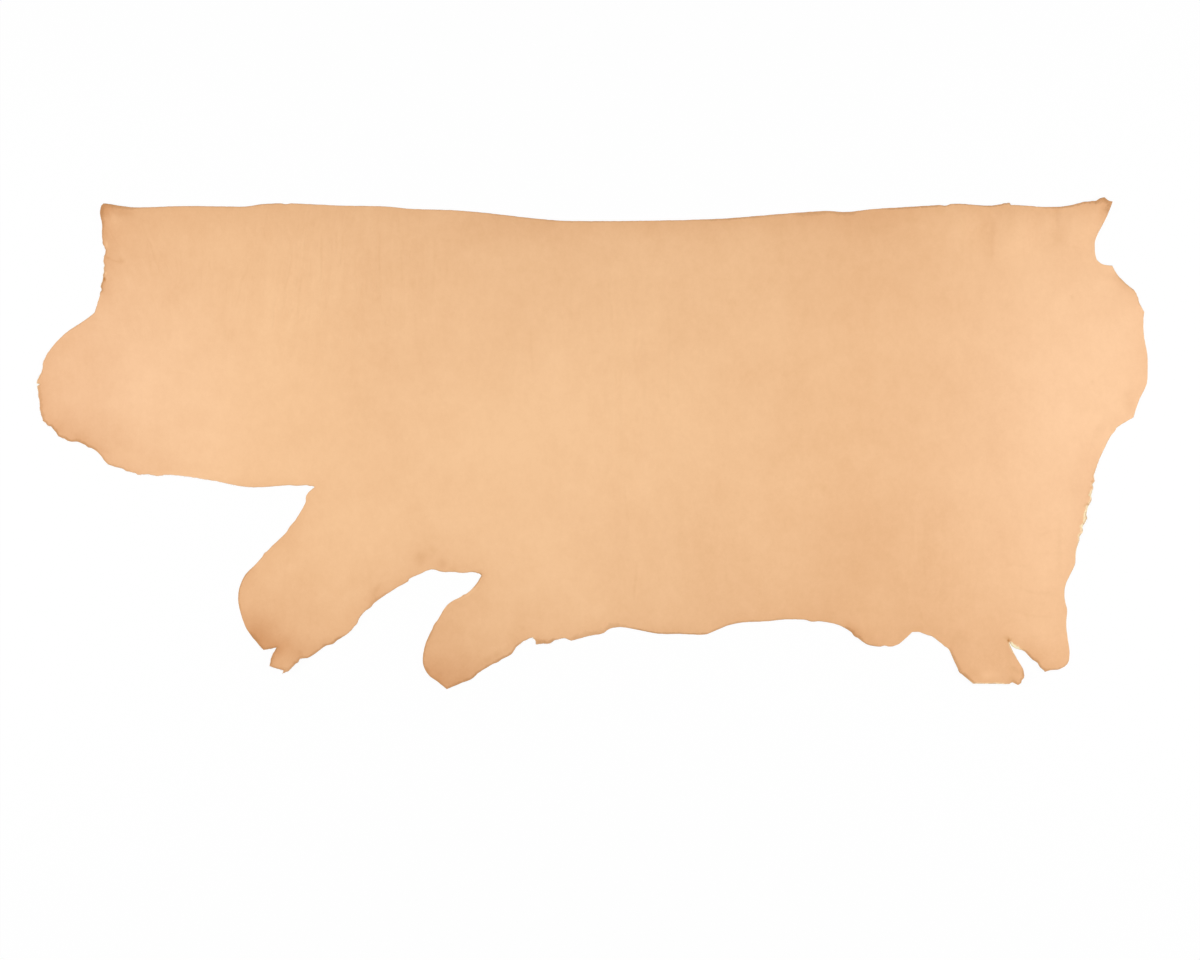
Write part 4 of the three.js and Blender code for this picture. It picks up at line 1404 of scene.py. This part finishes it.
def torn_line_mesh():
    """The lines that the fibres grow from, with the way outward at each of their points."""
    ways, lift = outward(edge_ring), flesh_height(edge_ring)
    points, edges, aways = [], [], []
    for run in torn_runs():
        for i in run:
            if i != run[0]:
                edges.append((len(points) - 1, len(points)))
            root = edge_ring[i] - ways[i] * ROOT_IN * MM
            points.append((*root, lift[i] + ROOT_UP * MM))
            aways.append((*ways[i], FIBRE_RISE))
    mesh = bpy.data.meshes.new("torn_edges")
    mesh.from_pydata(points, edges, [])
    attribute = mesh.attributes.new("away", "FLOAT_VECTOR", "POINT")
    attribute.data.foreach_set("vector", np.array(aways, np.float32).ravel())
    return mesh


def fibre_finish():
    finish, tree, where, shader = new_finish("loose_fibre")
    along = cloud(tree, where, 3 * MM, detail=2, contrast=1.8, seed=9.0)
    set_inputs(tree, shader, {
        "Base Color": mixed(tree, along, CUT_PALE, CUT_FIBRE),
        "Roughness": 0.8,
        "Specular IOR Level": 0.3,
    })
    return finish


def fibre_inputs(tree):
    """The tree's named inputs, and its result's socket."""
    for name, kind, value in (
        ("Geometry", "Geometry", None),
        ("Length", "Float", FIBRE_LENGTH),
        ("Width", "Float", FIBRE_WIDTH),
        ("Spacing", "Float", FIBRE_SPACING),
        ("Seed", "Int", FIBRE_SEED),
        ("Finish", "Material", None),
    ):
        socket = tree.interface.new_socket(name, in_out="INPUT", socket_type="NodeSocket" + kind)
        if value is not None:
            socket.default_value = value
    tree.interface.new_socket("Geometry", in_out="OUTPUT", socket_type="NodeSocketGeometry")
    return node(tree, "NodeGroupInput").outputs


def one_fibre(tree, length, width):
    """A bent rod that tapers toward its tip, four-sided, pointing along x."""
    bow = node(tree, "ShaderNodeCombineXYZ", {"Z": math_node(tree, "MULTIPLY", length, BOW_START)})
    middle = node(tree, "ShaderNodeCombineXYZ", {
        "X": math_node(tree, "MULTIPLY", length, 0.5),
        "Z": math_node(tree, "MULTIPLY", length, BOW_MIDDLE),
    })
    tip = node(tree, "ShaderNodeCombineXYZ", {"X": length})
    spine = node(tree, "GeometryNodeCurveQuadraticBezier", {
        "Start": bow.outputs[0],
        "Middle": middle.outputs[0],
        "End": tip.outputs[0],
        "Resolution": 4,
    })
    along = node(tree, "GeometryNodeSplineParameter").outputs["Factor"]
    narrowed = math_node(tree, "SUBTRACT", 1.0, math_node(tree, "MULTIPLY", along, TAPER))
    section = node(tree, "GeometryNodeCurvePrimitiveCircle", {"Resolution": 4, "Radius": 1.0})
    rod = node(tree, "GeometryNodeCurveToMesh", {
        "Curve": spine.outputs[0],
        "Profile Curve": section.outputs[0],
        "Scale": math_node(tree, "MULTIPLY", narrowed, math_node(tree, "MULTIPLY", width, 0.5)),
        "Fill Caps": True,
    })
    return rod.outputs[0]


def fibre_tree():
    """Nodes that set bent, tapered fibres along a line, each turned outward and its own size."""
    tree = bpy.data.node_groups.new("loose_fibres", "GeometryNodeTree")
    given = fibre_inputs(tree)
    line = node(tree, "GeometryNodeMeshToCurve", {"Mesh": given["Geometry"]})
    spacing = {"Curve": line.outputs[0], "Length": given["Spacing"]}
    spaced = node(tree, "GeometryNodeResampleCurve", spacing, mode="LENGTH")

    away = node(tree, "GeometryNodeInputNamedAttribute", {"Name": "away"}, data_type="FLOAT_VECTOR")
    turned = node(tree, "FunctionNodeAlignRotationToVector", {"Vector": away.outputs[0]}, axis="X")
    swaying = {0: SWAY_LOW, 1: SWAY_HIGH, "Seed": given["Seed"]}
    sway = node(tree, "FunctionNodeRandomValue", swaying, data_type="FLOAT_VECTOR")
    swayed = node(tree, "FunctionNodeRotateRotation", {
        "Rotation": turned.outputs[0],
        "Rotate By": sway.outputs[0],
    }, rotation_space="LOCAL")
    sizing = {2: SMALLEST, 3: 1.0, "Seed": math_node(tree, "ADD", given["Seed"], 1)}
    size = node(tree, "FunctionNodeRandomValue", sizing, data_type="FLOAT")

    sown = node(tree, "GeometryNodeInstanceOnPoints", {
        "Points": spaced.outputs[0],
        "Instance": one_fibre(tree, given["Length"], given["Width"]),
        "Rotation": swayed.outputs[0],
        "Scale": size.outputs[1],
    })
    real = node(tree, "GeometryNodeRealizeInstances", {"Geometry": sown.outputs[0]})
    finishing = {"Geometry": real.outputs[0], "Material": given["Finish"]}
    done = node(tree, "GeometryNodeSetMaterial", finishing)
    node(tree, "NodeGroupOutput", {0: done.outputs[0]})
    return tree


def grown(tree, line, finish):
    """The tree's result on a line mesh, as a plain mesh."""
    carrier = bpy.data.objects.new("torn_edges", line)
    bpy.context.collection.objects.link(carrier)
    sowing = carrier.modifiers.new("fibres", "NODES")
    sowing.node_group = tree
    inputs = [item for item in tree.interface.items_tree if item.in_out == "INPUT"]
    sockets = {item.name: item.identifier for item in inputs}
    sowing[sockets["Finish"]] = finish
    bpy.context.view_layer.update()
    evaluated = carrier.evaluated_get(bpy.context.evaluated_depsgraph_get())
    mesh = bpy.data.meshes.new_from_object(evaluated)
    bpy.data.objects.remove(carrier)
    return mesh


fibres = bpy.data.objects.new("loose_fibres", grown(fibre_tree(), torn_line_mesh(), fibre_finish()))
bpy.context.collection.objects.link(fibres)

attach(hide, "root")
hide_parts(HIDE_NODE)
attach(fibres, "root")


# ---- The surface, the lamps and the camera ----------------------------------------------
# A white table, seen from straight above, between two large soft lamps at the hide's ends,
# with a third above it, in a white room.

FLOOR_REACH = 40  # metres to each side: past all that is seen
FLOOR_DROP = 0.2 * MM
SHADOW_SHARE = 0.05  # of the table's own light and shade that the camera sees
WHITE = (1, 1, 1, 1)
ROOM_LIGHT = 0.25
LAMP_SIZE = 1.5  # metres square


def seen_white(tree):
    """1 for what the camera, a mirror or glass sees directly, and 0 for other light."""
    path = node(tree, "ShaderNodeLightPath").outputs
    seen = math_node(tree, "MAXIMUM", path["Is Camera Ray"], path["Is Glossy Ray"])
    return math_node(tree, "MAXIMUM", seen, path["Is Transmission Ray"])


def end_tree(tree, output, share, lit, white):
    """Ends a tree with a share of plain white, and the rest as it is lit."""
    parts = {0: share, 1: lit.outputs[0], 2: white.outputs[0]}
    both = node(tree, "ShaderNodeMixShader", parts)
    node(tree, output, {"Surface": both.outputs[0]})


def floor_finish():
    finish = bpy.data.materials.new("white_table")
    finish.use_nodes = True
    tree = finish.node_tree
    tree.nodes.clear()
    paint = node(tree, "ShaderNodeBsdfDiffuse", {"Color": WHITE})
    white = node(tree, "ShaderNodeEmission", {"Strength": 1.0})
    share = math_node(tree, "MULTIPLY", seen_white(tree), 1 - SHADOW_SHARE)
    end_tree(tree, "ShaderNodeOutputMaterial", share, paint, white)
    return finish


def room():
    """The white room around the table, which lights it from all sides."""
    world = bpy.data.worlds.new("white_room")
    world.use_nodes = True
    tree = world.node_tree
    tree.nodes.clear()
    light = node(tree, "ShaderNodeBackground", {"Color": WHITE, "Strength": ROOM_LIGHT})
    white = node(tree, "ShaderNodeBackground", {"Color": WHITE, "Strength": 1.0})
    end_tree(tree, "ShaderNodeOutputWorld", seen_white(tree), light, white)
    return world


def lamp(name, at, aim, watts):
    light = bpy.data.lights.new(name, "AREA")
    light.shape = "RECTANGLE"
    light.size = light.size_y = LAMP_SIZE
    light.energy = watts
    made = bpy.data.objects.new(name, light)
    made.location = at
    made.rotation_euler = (Vector(aim) - Vector(at)).to_track_quat("-Z", "Y").to_euler()
    bpy.context.collection.objects.link(made)


floor_mesh = bpy.data.meshes.new("floor")
corners = [(-FLOOR_REACH, -FLOOR_REACH), (FLOOR_REACH, -FLOOR_REACH)]
corners += [(-x, -y) for x, y in corners]
floor_mesh.from_pydata([(x, y, -FLOOR_DROP) for x, y in corners], [], [(0, 1, 2, 3)])
floor_mesh.materials.append(floor_finish())
floor = bpy.data.objects.new("floor", floor_mesh)
bpy.context.collection.objects.link(floor)

lamp("lamp_at_neck", at=(-2.5, -0.05, 1.9), aim=(-0.2, -0.1, 0), watts=36)
lamp("lamp_at_rump", at=(2.5, -0.05, 1.9), aim=(0.2, -0.1, 0), watts=37.5)
lamp("lamp_above", at=(0, -0.1, 4.0), aim=(0, -0.1, 0), watts=40)
bpy.context.scene.world = room()

VIEW_WIDTH = 2.64
VIEW_CENTRE = (0.017, -0.081)
LENS = 100
SENSOR = 36
lens = bpy.data.cameras.new("camera")
lens.lens = LENS
lens.sensor_width = SENSOR
camera = bpy.data.objects.new("camera", lens)
camera.location = (*VIEW_CENTRE, VIEW_WIDTH * LENS / SENSOR)
bpy.context.collection.objects.link(camera)
bpy.context.scene.camera = camera
bpy.context.scene.view_settings.view_transform = "Standard"
